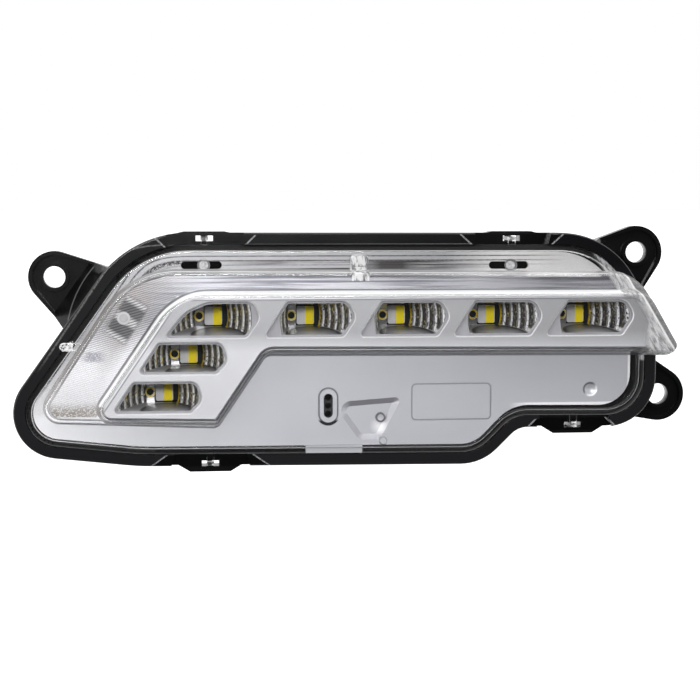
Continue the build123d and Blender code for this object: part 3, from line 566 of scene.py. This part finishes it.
# %% [markdown]
# Three smaller forms remain: the block where the plastic flowed in, streaked by the flow, a tab at
# the lower edge, and a hook at the left that shows as a few glints. Each is a box of space that holds
# the form and nothing else.

# %% Gate, tab and hook
GATE_X = (123.6, 131.2)
GATE_Z = (-1.2, 9.3)
GATE_HEIGHTS = (17.0, 25.6)
TAB_X = (104.8, 128.8)
TAB_Z = (-77.0, -70.6)
TAB_HEIGHT = 17.0
HOOK_X = (2.0, 8.6)
HOOK_Z = (-30.0, -25.6)
HOOK_HEIGHT = 16.0
gate = x.between(*GATE_X, soft=0.3) * z.between(*GATE_Z, soft=0.4)
gate = gate * height.between(*GATE_HEIGHTS, soft=0.3)
tab = x.between(*TAB_X, soft=0.2) * z.between(*TAB_Z, soft=0.2) * height.above(TAB_HEIGHT, soft=0.2)
hook = x.between(*HOOK_X, soft=0.2) * z.between(*HOOK_Z, soft=0.2) * height.above(HOOK_HEIGHT, soft=0.2)
glints = hook * fleck.above(0.52, soft=0.08)
flow = lens_clear.noise(per_mm=1.0, detail=2.0, stretch=(1, 1, 0.25)).above(0.5, soft=0.12)
gate_tone = lens_clear.mix(flow, grey(0.14, 0.005), grey(0.70))
print("gate", round(GATE_X[1] - GATE_X[0], 1), "mm wide")

# %% [markdown]
# Now the lens's tones, painted light and shade among them, are laid over one another. A second sum
# says how much of each form shows them on a satin that scatters light, rather than clear plastic that
# lets it through.

# %% Lens tones
shade = lens_clear.layers(
    wall_light_and_shade,
    (wing, wing_tone),
    (pip, pip_glints_and_rim),
    (tab, (0.36, 0.365, 0.385)),
    (on_skirt, skirt_light_and_shade),
    (veil * (1 - pip), veil_and_slot_shade),
    (disc, disc_tone),
    (hook, grey(0.80)),
    (gate, gate_tone),
)
satin_shares = (
    (steep, 0.55 + 0.2 * ridge_highlight), (hood, 0.3), (ring_highlight, 0.4),
    (wing, 0.6), (wing_edge, 0.35), (wing_line, 0.2),
    (pip, 0.75), (on_skirt, 0.5 + 0.4 * clip), (tab, 1.0),
    (disc, 0.6), (glints, 0.6), (veil, 0.85), (gate, 0.55),
)
satin_share = 0.0
for mask, share in satin_shares:
    satin_share = mask * share + satin_share
print("lens: grain on", len(satin_shares), "forms")

# %% [markdown]
# Three ways for light to go meet here. Flat faces let it straight through under a weak mirror, bent
# faces refract it, and satin parts scatter it and show the painted tones. Refraction everywhere would
# be truer to the plastic, but through a flat sheet one looks almost straight, and the bezel behind
# stays crisp this way. Shadow rays pass straight through, so that the lamps light the bezel.

# %% Lens shader
MIRROR_SHARE = 0.06
crinkled = crinkle * wing
lens_clear.bump(crinkled, depth_mm=0.5, strength=0.8)
satin = lens_clear.node(
    "ShaderNodeBsdfPrincipled", Base_Color=shade, Roughness=0.28,
    Normal=lens_clear.bumped(crinkled, depth_mm=1.2, strength=0.8),
)["BSDF"]
mirror = lens_clear.node(
    "ShaderNodeBsdfPrincipled", Base_Color=(1, 1, 1, 1), Metallic=1.0, Roughness=0.02
)["BSDF"]
passing = lens_clear.node("ShaderNodeBsdfTransparent", Color=(0.98, 0.98, 0.985, 1.0))["BSDF"]
sheet = lens_clear.blend(MIRROR_SHARE, passing, mirror)
bending = turned.above(0.12, soft=0.2)
clear = lens_clear.blend(bending, sheet, lens_clear.shader.outputs["BSDF"])
wall = lens_clear.blend(satin_share.clamp(), clear, satin)
shadow_ray = lens_clear.node("ShaderNodeLightPath")["Is Shadow Ray"]
lens_clear.show(lens_clear.blend(shadow_ray, wall, passing))
dress(lens_clear, "outer_lens")

# %% [markdown]
# The seven bowls are coated with aluminium in a vacuum, over a smooth moulded skin. All are alike, so
# each point is measured from its own light source: five stand in a row behind the band, and two more
# go down the leg. One finish then fits every bowl.

# %% Optic windows
FIRST_LED = (68.4, -16.6)
ROW_STEP = 39.25
LEG_STEP = (-10.5, -16.1)
WINDOW_SHIFT = 1.5
WINDOW_HALF = (19.6, 8.0)
LEDS = [(FIRST_LED[0] + ROW_STEP * n, FIRST_LED[1]) for n in range(5)]
LEDS += [(FIRST_LED[0] + LEG_STEP[0] * n, FIRST_LED[1] + LEG_STEP[1] * n) for n in (1, 2)]
optic_mirror = Finish("optic_mirror", (0.84, 0.84, 0.85), 0.12, 1.0)
x, z, height = optic_mirror.axes()
_, to_front, up = optic_mirror.facing()
across = 0.0
along = 0.0
for led_x, led_z in LEDS:
    here = (x - led_x + WINDOW_SHIFT).abs().below(WINDOW_HALF[0], soft=0.01)
    here = here * (z - led_z).abs().below(WINDOW_HALF[1], soft=0.01)
    across = (x - led_x) * here + across
    along = (z - led_z) * here + along
print("windows:", len(LEDS))

# %% [markdown]
# Ring-shaped flutes run down both sides of a bowl. A mirror with a trace of roughness shows them as
# bright and dark stripes, but the real ones are broken up by what they reflect. So each flute also
# gets a dark seam and a painted reflection, a dull dark inner half and a bright line, all three broken
# by a noise.

# %% Optic flutes
FLUTE_PITCH = 2.3
FLUTE_CENTRE = 14.0
FLUTE_STARTS = (9.4, 4.4)
FLUTE_LEAD = 0.3
haze = optic_mirror.noise(per_mm=0.4, detail=2.0)
broken = optic_mirror.noise(per_mm=0.9)
seams = 0.0
inner = 0.0
bright_reflection = 0.0
for side, start in zip((-1, 1), FLUTE_STARTS):
    from_centre = across.from_point(along, -side * FLUTE_CENTRE, 0.0)
    turn = ((from_centre - FLUTE_CENTRE - start) / FLUTE_PITCH).math("FRACT")
    on_side = (across * side).above(start - FLUTE_LEAD, soft=0.1)
    seams = (turn - 0.5).abs().above(0.40, soft=0.10) * on_side + seams
    inner = turn.below(0.48, soft=0.2) * on_side + inner
    bright_reflection = turn.between(0.60, 0.86, soft=0.12) * on_side + bright_reflection
seams = seams * broken.above(0.36, soft=0.12)
dark_reflection = inner * broken.below(0.60, soft=0.1)
bright_reflection = bright_reflection * broken.above(0.44, soft=0.12)
print("optics: seams every", FLUTE_PITCH, "mm")

# %% [markdown]
# A bowl's floor has a shelf with a curved back edge below the chip, and a painted shadow on the shelf
# darkens towards that edge, with a black line along it. The gap right of the chip looks black, painted
# as shade, with a yellow crescent behind it, and the round spot left of it has a yellow rim. A mirror
# repeats the chip's yellow by itself, but only as specks at this size, so these yellow reflections are
# painted.

# %% Optic marks
BOWL_FRONT = 28.0
SHELF = (11.0, 21.0)
FLANGE_HEIGHT = 27.9
GAP = (1.8, 4.3)
GAP_HEIGHT = 8.0
SPOT = -7.6
SPOT_RIM = (1.4, 2.2)
SPOT_HEIGHT = 6.0
CRESCENT = (18.0, 18.8)
CRESCENT_HALF = 4.8
flat = up.above(0.7, soft=0.2)
flange = height.above(FLANGE_HEIGHT, soft=0.1) * to_front.above(0.8, soft=0.2)
shelf = (across / SHELF[0]).from_point((BOWL_FRONT - height) / SHELF[1], 0.0, 0.0)
shelf_shadow_tone = optic_mirror.layers(
    optic_mirror.mix(shelf.above(0.55, soft=0.7), grey(0.40, 0.01), grey(0.10, 0.005)),
    (shelf.between(0.92, 1.06, soft=0.06), grey(0.01)),
    (shelf.above(1.06, soft=0.05), grey(0.36, 0.01)),
)
gap_shade = across.between(*GAP, soft=0.2) * height.below(GAP_HEIGHT, soft=0.5)
spot_rim = across.from_point(along, SPOT, 0.0).between(*SPOT_RIM, soft=0.2)
spot_rim = spot_rim * height.below(SPOT_HEIGHT, soft=0.5)
crescent = across.from_point(along, -FLUTE_CENTRE, 0.0).between(*CRESCENT, soft=0.2)
crescent = crescent * along.abs().below(CRESCENT_HALF, soft=0.4)
yellow_reflection = (spot_rim + crescent) * broken.above(0.4, soft=0.1)
yellow_reflection = (yellow_reflection + seams * broken.above(0.64, soft=0.05) * 0.7).clamp()
print("spot", -SPOT, "mm left of each chip")

# %% [markdown]
# What is painted is matt and no metal, and the rest is mirror. So the same sum of masks that lays the
# tones also takes the metal away and roughens the surface.

# %% Optic finish
matt = (flat * 0.8 + flange * 0.7 + yellow_reflection + gap_shade + seams + dark_reflection + bright_reflection).clamp()
optic_mirror.gloss(0.06 + 0.08 * haze + 0.4 * matt)
optic_mirror.metal(1 - matt)
optic_mirror.paint(optic_mirror.layers(
    grey(0.95, 0.01),
    (dark_reflection, grey(0.03, 0.003)),
    (bright_reflection, grey(0.95, 0.01)),
    (seams, grey(0.015)),
    (flat, shelf_shadow_tone),
    (gap_shade, grey(0.012, 0.002)),
    (yellow_reflection, (0.75, 0.55, 0.01)),
    (flange, grey(0.32, 0.015)),
))
dress(optic_mirror, *[f"optic_{n}" for n in range(1, 8)])

# %% [markdown]
# The bezel is vacuum-coated plastic. Its lower panel is satin, and the strip along the left and the
# top is brighter and hatched. Two materials could be given to two sets of faces. One finish that tells
# the zones apart by place and height leaves the mesh as it is, so that way was chosen.

# %% Bezel places
STRIP_HEIGHT = 26.0
STRIP_REACH = 3.0
STRIP_END = -57.0
STEP_HEIGHTS = (21.0, 24.0)
BAND_HEIGHT = 28.0
bezel_silver = Finish("bezel_silver", (0.5, 0.51, 0.53), 0.4, 0.4)
x, z, height = bezel_silver.axes()
aside, to_front, up = bezel_silver.facing()
beside_leg = past_line(x, z, LEG_TOP, LEG_WAY)
above_band = z - LEG_TOP[1]
outside = beside_leg.most(above_band) + height.below(STRIP_HEIGHT, soft=1.0) * STRIP_REACH
strip = outside.above(0.0, soft=0.4) * z.above(STRIP_END, soft=0.4)
on_top = (above_band - beside_leg).above(0.0, soft=26.0)
on_step = height.between(*STEP_HEIGHTS, soft=0.6)
on_band = height.above(BAND_HEIGHT, soft=1.0)
on_panel = 1 - on_band
print("bezel: strip outside the leg and the band")

# %% [markdown]
# The lower panel brightens to the left, and the face of the band is darker above than below. A very
# wide noise keeps both from looking flat. The outline of the plate and the foot of the oval collar are
# raised in the solid, and painted shade on their small walls makes them show.

# %% Bezel panel
PANEL_MIDDLE = 42.0
PANEL_FADE = 110.0
BAND_TURN = -26.0
LINE_HEIGHTS = (15.4, 16.85)
PLATE_X = (147.0, 188.0)
COLLAR_X = (108.0, 120.0)
satin_grain = bezel_silver.noise(per_mm=1.6)
cloud = bezel_silver.noise(per_mm=0.02, detail=2.0)
raised = height.between(*LINE_HEIGHTS, soft=0.1)
band_tone = bezel_silver.mix(z.below(BAND_TURN, soft=8.0), grey(0.31, 0.002), grey(0.56, 0.01))
panel = bezel_silver.layers(
    grey(0.86, 0.005),
    (x.above(PANEL_MIDDLE, soft=PANEL_FADE), (0.52, 0.525, 0.55)),
    (on_band, band_tone),
    (cloud * 0.3, (0.64, 0.65, 0.68)),
    (raised * x.between(*PLATE_X, soft=0.5), grey(0.36, 0.03)),
    (raised * x.between(*COLLAR_X, soft=0.5), grey(0.05, 0.005)),
)
print("plate outline from x", PLATE_X[0], "to", PLATE_X[1], "mm")

# %% [markdown]
# A shallow scoop is pressed into the panel, with a small pin in it. Its walls get painted light and
# shade by the way they face, because a satin wall this shallow would hardly differ from the panel.
# Light gathers in a soft glow below the pin, and that glow is painted too.

# %% Scoop
SCOOP_X = (121.0, 152.0)
SCOOP_Z = (-78.0, -50.0)
PIN = (136.9, -59.4)
PIN_RIM = (1.3, 2.1)
GLOW = (136.2, -63.2)
GLOW_RADIUS = 2.2
scoop = x.between(*SCOOP_X, soft=1.0) * z.between(*SCOOP_Z, soft=1.0) * on_panel
scoop_light_and_shade = bezel_silver.layers(
    grey(0.36, 0.025),
    (up.above(-0.1, soft=0.2), grey(0.60, 0.02)),
    (aside.above(0.15, soft=0.2), grey(0.56, 0.02)),
    (up.above(0.15, soft=0.2), grey(0.40, 0.02)),
)
panel = bezel_silver.layers(
    panel,
    (scoop * to_front.below(0.985, soft=0.03), scoop_light_and_shade),
    (scoop * x.from_point(z, *GLOW).below(GLOW_RADIUS, soft=3.6) * 0.8, grey(0.97)),
    (scoop * x.from_point(z, *PIN).between(*PIN_RIM, soft=0.4), grey(0.14, 0.01)),
)
print("scoop from x", SCOOP_X[0], "to", SCOOP_X[1], "mm")

# %% [markdown]
# A dimple at the right has a rim painted with shade on one side and a highlight on the other, as a
# hollow is lit. A painted shadow lies round the oval collar, deepest at its lower end. An oval with
# straight sides is measured as a circle whose middle may slide up and down.

# %% Dimple and collar
DIMPLE = (227.5, -48.4)
DIMPLE_RIM = (2.3, 3.2)
COLLAR = (114.6, -54.1)
COLLAR_HALF = 3.5
COLLAR_LINE = (3.6, 4.3)
COLLAR_SHADOW = (3.6, 5.0)
COLLAR_LOW = -6.2
dimple = x.from_point(z, *DIMPLE).between(*DIMPLE_RIM, soft=0.4) * on_panel
dimple_lit_side = (x - z).above(DIMPLE[0] - DIMPLE[1], soft=3.0)
past_straight = ((z - COLLAR[1]).abs() - COLLAR_HALF).most(0.0)
from_collar = x.from_point(past_straight, COLLAR[0], 0.0)
low_side = from_collar.between(*COLLAR_SHADOW, soft=0.3) * (z - COLLAR[1]).below(COLLAR_LOW, soft=1.0)
panel = bezel_silver.layers(
    panel,
    (dimple, bezel_silver.mix(dimple_lit_side, grey(0.20, 0.015), grey(0.80, 0.01))),
    (from_collar.between(*COLLAR_LINE, soft=0.3) * on_panel, grey(0.24, 0.02)),
    (low_side * on_panel, grey(0.012, 0.001)),
)
print("collar", round(2 * (COLLAR_HALF + COLLAR_LINE[0]), 1), "mm high")

# %% [markdown]
# The band carries a painted highlight, a white round along its outer edge, with a thin grey line
# inside it. The panel's lower right corner ends in a painted highlight, a white line. Each is a span of
# distance from an edge whose corner is rounded off, so a smooth maximum of two distances draws it.

# %% Band lines and panel edge
BAND_BEND = 6.0
BAND_ROUND = (2.0, 4.0)
BAND_LINE = (4.1, 4.6)
CORNER = (245.0, -55.0)
CORNER_BEND = 12.0
EDGE_LINE = (-1.2, 1.0)
EDGE_LEFT = 196.0
inward = 0 - outside_step(x, z, 1.0, BAND_BEND)
past_edge = (x - CORNER[0]).blend_most(CORNER[1] - z, CORNER_BEND)
corner_highlight = past_edge.between(*EDGE_LINE, soft=0.3) * x.above(EDGE_LEFT, soft=8.0) * on_panel
panel = bezel_silver.layers(
    panel,
    (inward.between(*BAND_ROUND, soft=0.6) * on_band, grey(0.70, 0.01)),
    (inward.between(*BAND_LINE, soft=0.3) * on_band, grey(0.22, 0.01)),
    (corner_highlight, grey(0.97)),
)
print("panel edge line from x", EDGE_LEFT, "mm")

# %% [markdown]
# The strip is hatched where it steps forward, one way on the left and another on the top. Stripes less
# than a millimetre apart would be too many faces for the mesh, so they are tone and bump. Dark lines
# along the top are a noise stretched far along x.

# %% Strip hatch
HATCH_PITCH = 0.85
TOP_HATCH_WAY = (0.75, 0.66)


def hatching(x, z, way, pitch):
    """Ridges: 0 along the middle of each stripe and 1 along its edges."""
    return (stripes(x, z, way, pitch) - 0.5).abs() * 2


hatch = hatching(x, z, HATCH_WAY, HATCH_PITCH)
top_hatch = hatching(x, z, TOP_HATCH_WAY, HATCH_PITCH)
lines = bezel_silver.noise(per_mm=0.9, detail=4.0, stretch=(0.02, 1, 1))
dots = bezel_silver.noise(per_mm=2.2, detail=2.0)
top_tone = bezel_silver.layers(
    bezel_silver.mix(lines.above(0.5, soft=0.16), grey(0.12, 0.015), grey(0.45, 0.02)),
    (top_hatch * 0.5, grey(0.16, 0.02)),
)
print("hatch every", HATCH_PITCH, "mm")

# %% [markdown]
# On the left the hatch is pale below and dark above. It turns nearly black round the slot as painted
# shade, a smear lies below that, and brown specks gather at the strip's lower end. Each is one more
# layer.

# %% Left part of the strip
STRIP_LEG_SHARE = 0.82
PALE_TOP = -24.0
WARM_START = 3.0
WARM_X = (24.0, 70.0)
HATCH_TURN = -28.0
SLOT_INNER = 1.8
SMEAR_X = (13.0, 21.0)
SMEAR_Z = (-34.2, -30.0)
SPECKS_TOP = -52.5
from_step = outside_step(x, z, STRIP_LEG_SHARE, STEP_BEND)
slot_along, slot_across = slot_axes(x, z)
slot_shade = slot_along.between(SLOT_INNER, SLOT_FIELD[0], soft=1.2)
slot_shade = slot_shade * slot_across.below(SLOT_FIELD[1], soft=1.6) * (0.5 + 0.5 * hatch)
warm = from_step.above(WARM_START, soft=4.0) * x.between(*WARM_X, soft=14.0) * 0.8
smear = x.between(*SMEAR_X, soft=4.0) * z.between(*SMEAR_Z, soft=1.6) * dots.above(0.4, soft=0.2)
specks = z.below(SPECKS_TOP, soft=4.0) * dots.above(0.45, soft=0.1) * 0.8
left_tone = bezel_silver.layers(
    grey(0.29, 0.005),
    (z.below(PALE_TOP, soft=14.0), grey(0.74, 0.005)),
    (warm, (0.30, 0.275, 0.255)),
    (hatch * (0.3 + 0.7 * z.above(HATCH_TURN, soft=24.0)), grey(0.07, 0.01)),
    (slot_shade, grey(0.05, 0.005)),
    (smear, grey(0.26, 0.02)),
    (specks, (0.20, 0.16, 0.12)),
)
print("left hatch toned, dark round the slot at", SLOT)

# %% [markdown]
# Between the step and the rim run fine lines that follow the rim, and dark streaks run out from the
# gate. The lines come from the distance to the step, as the rim's own line does, and fade out where
# the strip ends.

# %% Lines and streaks
RIM_LINES = 1.9
RIM_LINES_START = 9.5
RIM_LINES_LOW = -46.0
RIM_LINES_RIGHT = 205.0
GATE_MIDDLE = sum(GATE_X) / 2
STREAK_REACH = 58
STREAK_RIGHT = (131.0, 152.0)
STREAK_Z = (3.2, 7.2)
STREAK_HEIGHT = 19.0
ARC_STREAK = (10.2, 11.8)
ARC_STREAK_X = (38.0, 55.0)
rim_lines = ((from_step / RIM_LINES).math("FRACT") - 0.5).abs().above(0.36, soft=0.12)
rim_lines = rim_lines * from_step.above(RIM_LINES_START, soft=1.0)
rim_lines = rim_lines * (0.35 + 0.65 * dots.above(0.45, soft=0.2))
rim_lines = rim_lines * z.above(RIM_LINES_LOW, soft=14.0) * x.below(RIM_LINES_RIGHT, soft=25.0)
near_gate = ((1 - (x - GATE_MIDDLE).abs() / STREAK_REACH) * 1.7).clamp()
near_gate = near_gate * lines.above(0.48, soft=0.1)
streak = (x.between(*STREAK_RIGHT, soft=12.0) * 0.9).most(near_gate)
streak = streak * z.between(*STREAK_Z, soft=1.2) * on_top * height.below(STREAK_HEIGHT, soft=0.5)
arc_streak = from_step.between(*ARC_STREAK, soft=0.8) * x.between(*ARC_STREAK_X, soft=5.0)
arc_streak = arc_streak * dots.above(0.46, soft=0.1)
print("rim lines every", RIM_LINES, "mm, streaks from x", GATE_MIDDLE)

# %% [markdown]
# The strip is pale at its lower left and warmer at its right end. Its layers are the rim's lines, the
# hatched step and the streaks. Panel and strip then meet in one tone. Rounded edges shine, except in
# the scoop. The panel has a satin grain and the strip a sparkle.

# %% Bezel finish
STRIP_TURN = -40.0
STRIP_RIGHT = 176.0
sparkle = bezel_silver.noise(per_mm=5.0, detail=1.0)
strip_tone = bezel_silver.layers(
    grey(0.90, 0.005),
    (z.above(STRIP_TURN, soft=30.0), grey(0.36, 0.005)),
    (x.above(STRIP_RIGHT, soft=24.0), (0.74, 0.73, 0.72)),
    (rim_lines, grey(0.05, 0.003)),
    (on_step, bezel_silver.mix(on_top, left_tone, top_tone)),
    (streak.most(arc_streak).clamp(), (0.02, 0.017, 0.015)),
)
off_strip = 1 - strip
edge = to_front.between(0.35, 0.84, soft=0.05) * (1 - scoop) * off_strip
bezel_silver.paint(bezel_silver.layers(panel, (strip, strip_tone), (edge * 0.7, grey(0.9))))
bezel_silver.metal(0.5 + 0.1 * strip)
bezel_silver.gloss((0.34 + 0.12 * satin_grain) * off_strip + strip * (0.22 + 0.14 * sparkle))
ridges = satin_grain * off_strip * 0.12 + hatch * strip * on_step * 0.4
bezel_silver.bump(ridges, depth_mm=0.14, strength=0.6)
dress(bezel_silver, "bezel")

# %% [markdown]
# Each chip is a slab of yellow phosphor on a pale package, and the boards are nearly black. No part of
# a real surface has quite one colour, so each of these finishes flecks between two near tones.

# %% Light sources and boards
def flecked(name, color, dark, pale, roughness, per_mm, detail=3.0, **settings):
    """A finish that flecks between a dark and a pale tone."""
    finish = Finish(name, color, roughness, **settings)
    finish.paint(finish.mix(finish.noise(per_mm, detail), dark, pale))
    return finish


phosphor_yellow = flecked(
    "phosphor_yellow", (0.97, 0.76, 0.004), (0.92, 0.72, 0.003), (1.0, 0.80, 0.006),
    roughness=0.6, per_mm=4.0, detail=2.0, Specular_IOR_Level=0.2,
)
package_grey = flecked(
    "package_grey", grey(0.60, 0.005), grey(0.55, 0.005), grey(0.65, 0.005),
    roughness=0.45, per_mm=3.0,
)
board_green = flecked(
    "board_green", (0.006, 0.008, 0.007), (0.004, 0.006, 0.005), (0.008, 0.011, 0.009),
    roughness=0.6, per_mm=1.2, Specular_IOR_Level=0.1,
)
dress(phosphor_yellow, *[f"phosphor_{n}" for n in range(1, 8)])
dress(package_grey, *[f"led_{n}" for n in range(1, 8)])
dress(board_green, "led_board", "driver_board")

# %% [markdown]
# The frame that clamps the optics is satin grey plastic, of which little more than an edge shows. The
# rest hardly shows from the front, but the lamp is looked at from all sides: cast metal, zinc-plated
# screws, rubber, a soft pad and amber film. One colour each will do, with a gloss that shifts a little.

# %% Inner and rear pieces
def handled(name, color, roughness, gloss, per_mm, metallic=0.0, stretch=(1, 1, 1)):
    """A finish whose gloss shifts from place to place, between a lowest value and a span above it."""
    finish = Finish(name, color, roughness, metallic)
    speck = finish.noise(per_mm, stretch=stretch)
    finish.gloss(gloss[0] + speck * gloss[1])
    return finish, speck


cup_grey, _ = handled("cup_grey", grey(0.30, 0.01), 0.45, (0.38, 0.15), per_mm=1.0)
sink_cast, cast = handled("sink_cast", grey(0.55, 0.01), 0.45, (0.38, 0.2), per_mm=1.0, metallic=0.9)
sink_cast.bump(cast, depth_mm=0.05, strength=0.4)
screw_zinc, _ = handled(
    "screw_zinc", grey(0.50, 0.01), 0.32, (0.24, 0.2), per_mm=2.0, metallic=1.0, stretch=(1, 1, 6)
)
rubber_black, _ = handled("rubber_black", grey(0.02), 0.7, (0.6, 0.25), per_mm=2.0)
pad_grey, _ = handled("pad_grey", grey(0.35, 0.01), 0.7, (0.6, 0.2), per_mm=2.0)
film_amber, _ = handled("film_amber", (0.35, 0.16, 0.02), 0.35, (0.25, 0.2), per_mm=1.0)
dress(cup_grey, "cup_frame")
dress(sink_cast, "heat_sink", "driver_capacitors")
dress(screw_zinc, "sink_screws", "cover_screws", "socket_pins")
dress(rubber_black, "seal_bead", "cover_seal", "vent_cap", "vent_insert", "driver_chip", "driver_coil")
dress(pad_grey, "thermal_pad")
dress(film_amber, "flex_link")

# %% [markdown]
# To the camera the world is plain white. What the lamp itself reflects is white all round but dimmer
# towards the camera, as in a light tent with an opening in front. An even white would leave clear
# plastic and chrome without their darker lines.

# %% World
FRONT_LOW = 0.06
FRONT_HIGH = 0.80
world = bpy.data.worlds.new("studio")
bpy.context.scene.world = world
world.use_nodes = True
world.node_tree.nodes.clear()
tent = Nodes(world.node_tree)
_, backward, upward = tent.split(tent.node("ShaderNodeTexCoord")["Generated"])
behind = backward.above(-0.15, soft=0.5)
overhead = upward.above(0.40, soft=0.7)
opening = FRONT_LOW + overhead * (FRONT_HIGH - FRONT_LOW)
around = opening * (1 - behind) + behind
seen = tent.value(tent.node("ShaderNodeLightPath")["Is Camera Ray"])
backdrop = tent.node("ShaderNodeBackground", Color=(1, 1, 1, 1), Strength=seen + (1 - seen) * around)
tent.node("ShaderNodeOutputWorld", Surface=backdrop["Background"])
print("tent, dimmed in front to", FRONT_LOW)

# %% [markdown]
# The lamp is held up by its ears, so the floor lies well below it and only runs backwards. A sheet of
# white paper under soft light would come out grey, so the floor adds a glow of its own where it is
# seen, straight, in a mirror or through the lens, and still takes the shadow.

# %% Floor
FLOOR_DROP = 0.16
FLOOR_SIZE = 60.0
FLOOR_FRONT = -0.02
FLOOR_GLOW = 0.62
bpy.ops.object.select_all(action="DESELECT")
floor_middle = (SIGHT.x, FLOOR_FRONT + FLOOR_SIZE / 2, solid_box[0][2] - FLOOR_DROP)
bpy.ops.mesh.primitive_plane_add(size=FLOOR_SIZE, location=floor_middle)
floor = bpy.context.object
floor.name = "floor"
floor_paper = Finish("floor_paper", grey(0.86), 0.85)
floor_paper.gloss(0.78 + 0.14 * floor_paper.noise(per_mm=0.2))
ray = floor_paper.node("ShaderNodeLightPath")
seen = floor_paper.value(ray["Is Camera Ray"]).most(floor_paper.value(ray["Is Glossy Ray"]))
seen = seen.most(floor_paper.value(ray["Is Transmission Ray"]))
paper = floor_paper.shader.outputs["BSDF"]
glow = floor_paper.node("ShaderNodeEmission", Color=(1, 1, 1, 1), Strength=FLOOR_GLOW)["Emission"]
lit = floor_paper.node("ShaderNodeAddShader", i0=paper, i1=glow)["Shader"]
floor_paper.show(floor_paper.blend(seen, paper, lit))
floor.data.materials.append(floor_paper.material)
print("floor", FLOOR_DROP, "m below the lamp")

# %% [markdown]
# Four soft lamps do the rest: a wide one above, a tall one at each side, and a narrow one in front.
# Small hard lamps would leave bright dots in the chrome. All of them point at what the camera looks at.

# %% Lamps
LAMPS = {
    "top": ((0.12, -0.50, 0.62), (1.0, 0.40), 3.6),
    "left": ((-0.60, -0.55, 0.00), (0.30, 0.7), 3.0),
    "right": ((0.85, -0.55, -0.05), (0.30, 0.7), 1.4),
    "front": ((0.00, -1.00, 0.18), (0.5, 0.10), 5.8),
}
for name, (place, size, watts) in LAMPS.items():
    data = bpy.data.lights.new(name, "AREA")
    data.shape = "RECTANGLE"
    data.size, data.size_y = size
    data.energy = watts
    lamp = bpy.data.objects.new(name, data)
    lamp.location = place
    lamp.rotation_euler = (SIGHT - Vector(place)).to_track_quat("-Z", "Y").to_euler()
    bpy.context.scene.collection.objects.link(lamp)
print("lamps:", ", ".join(LAMPS))
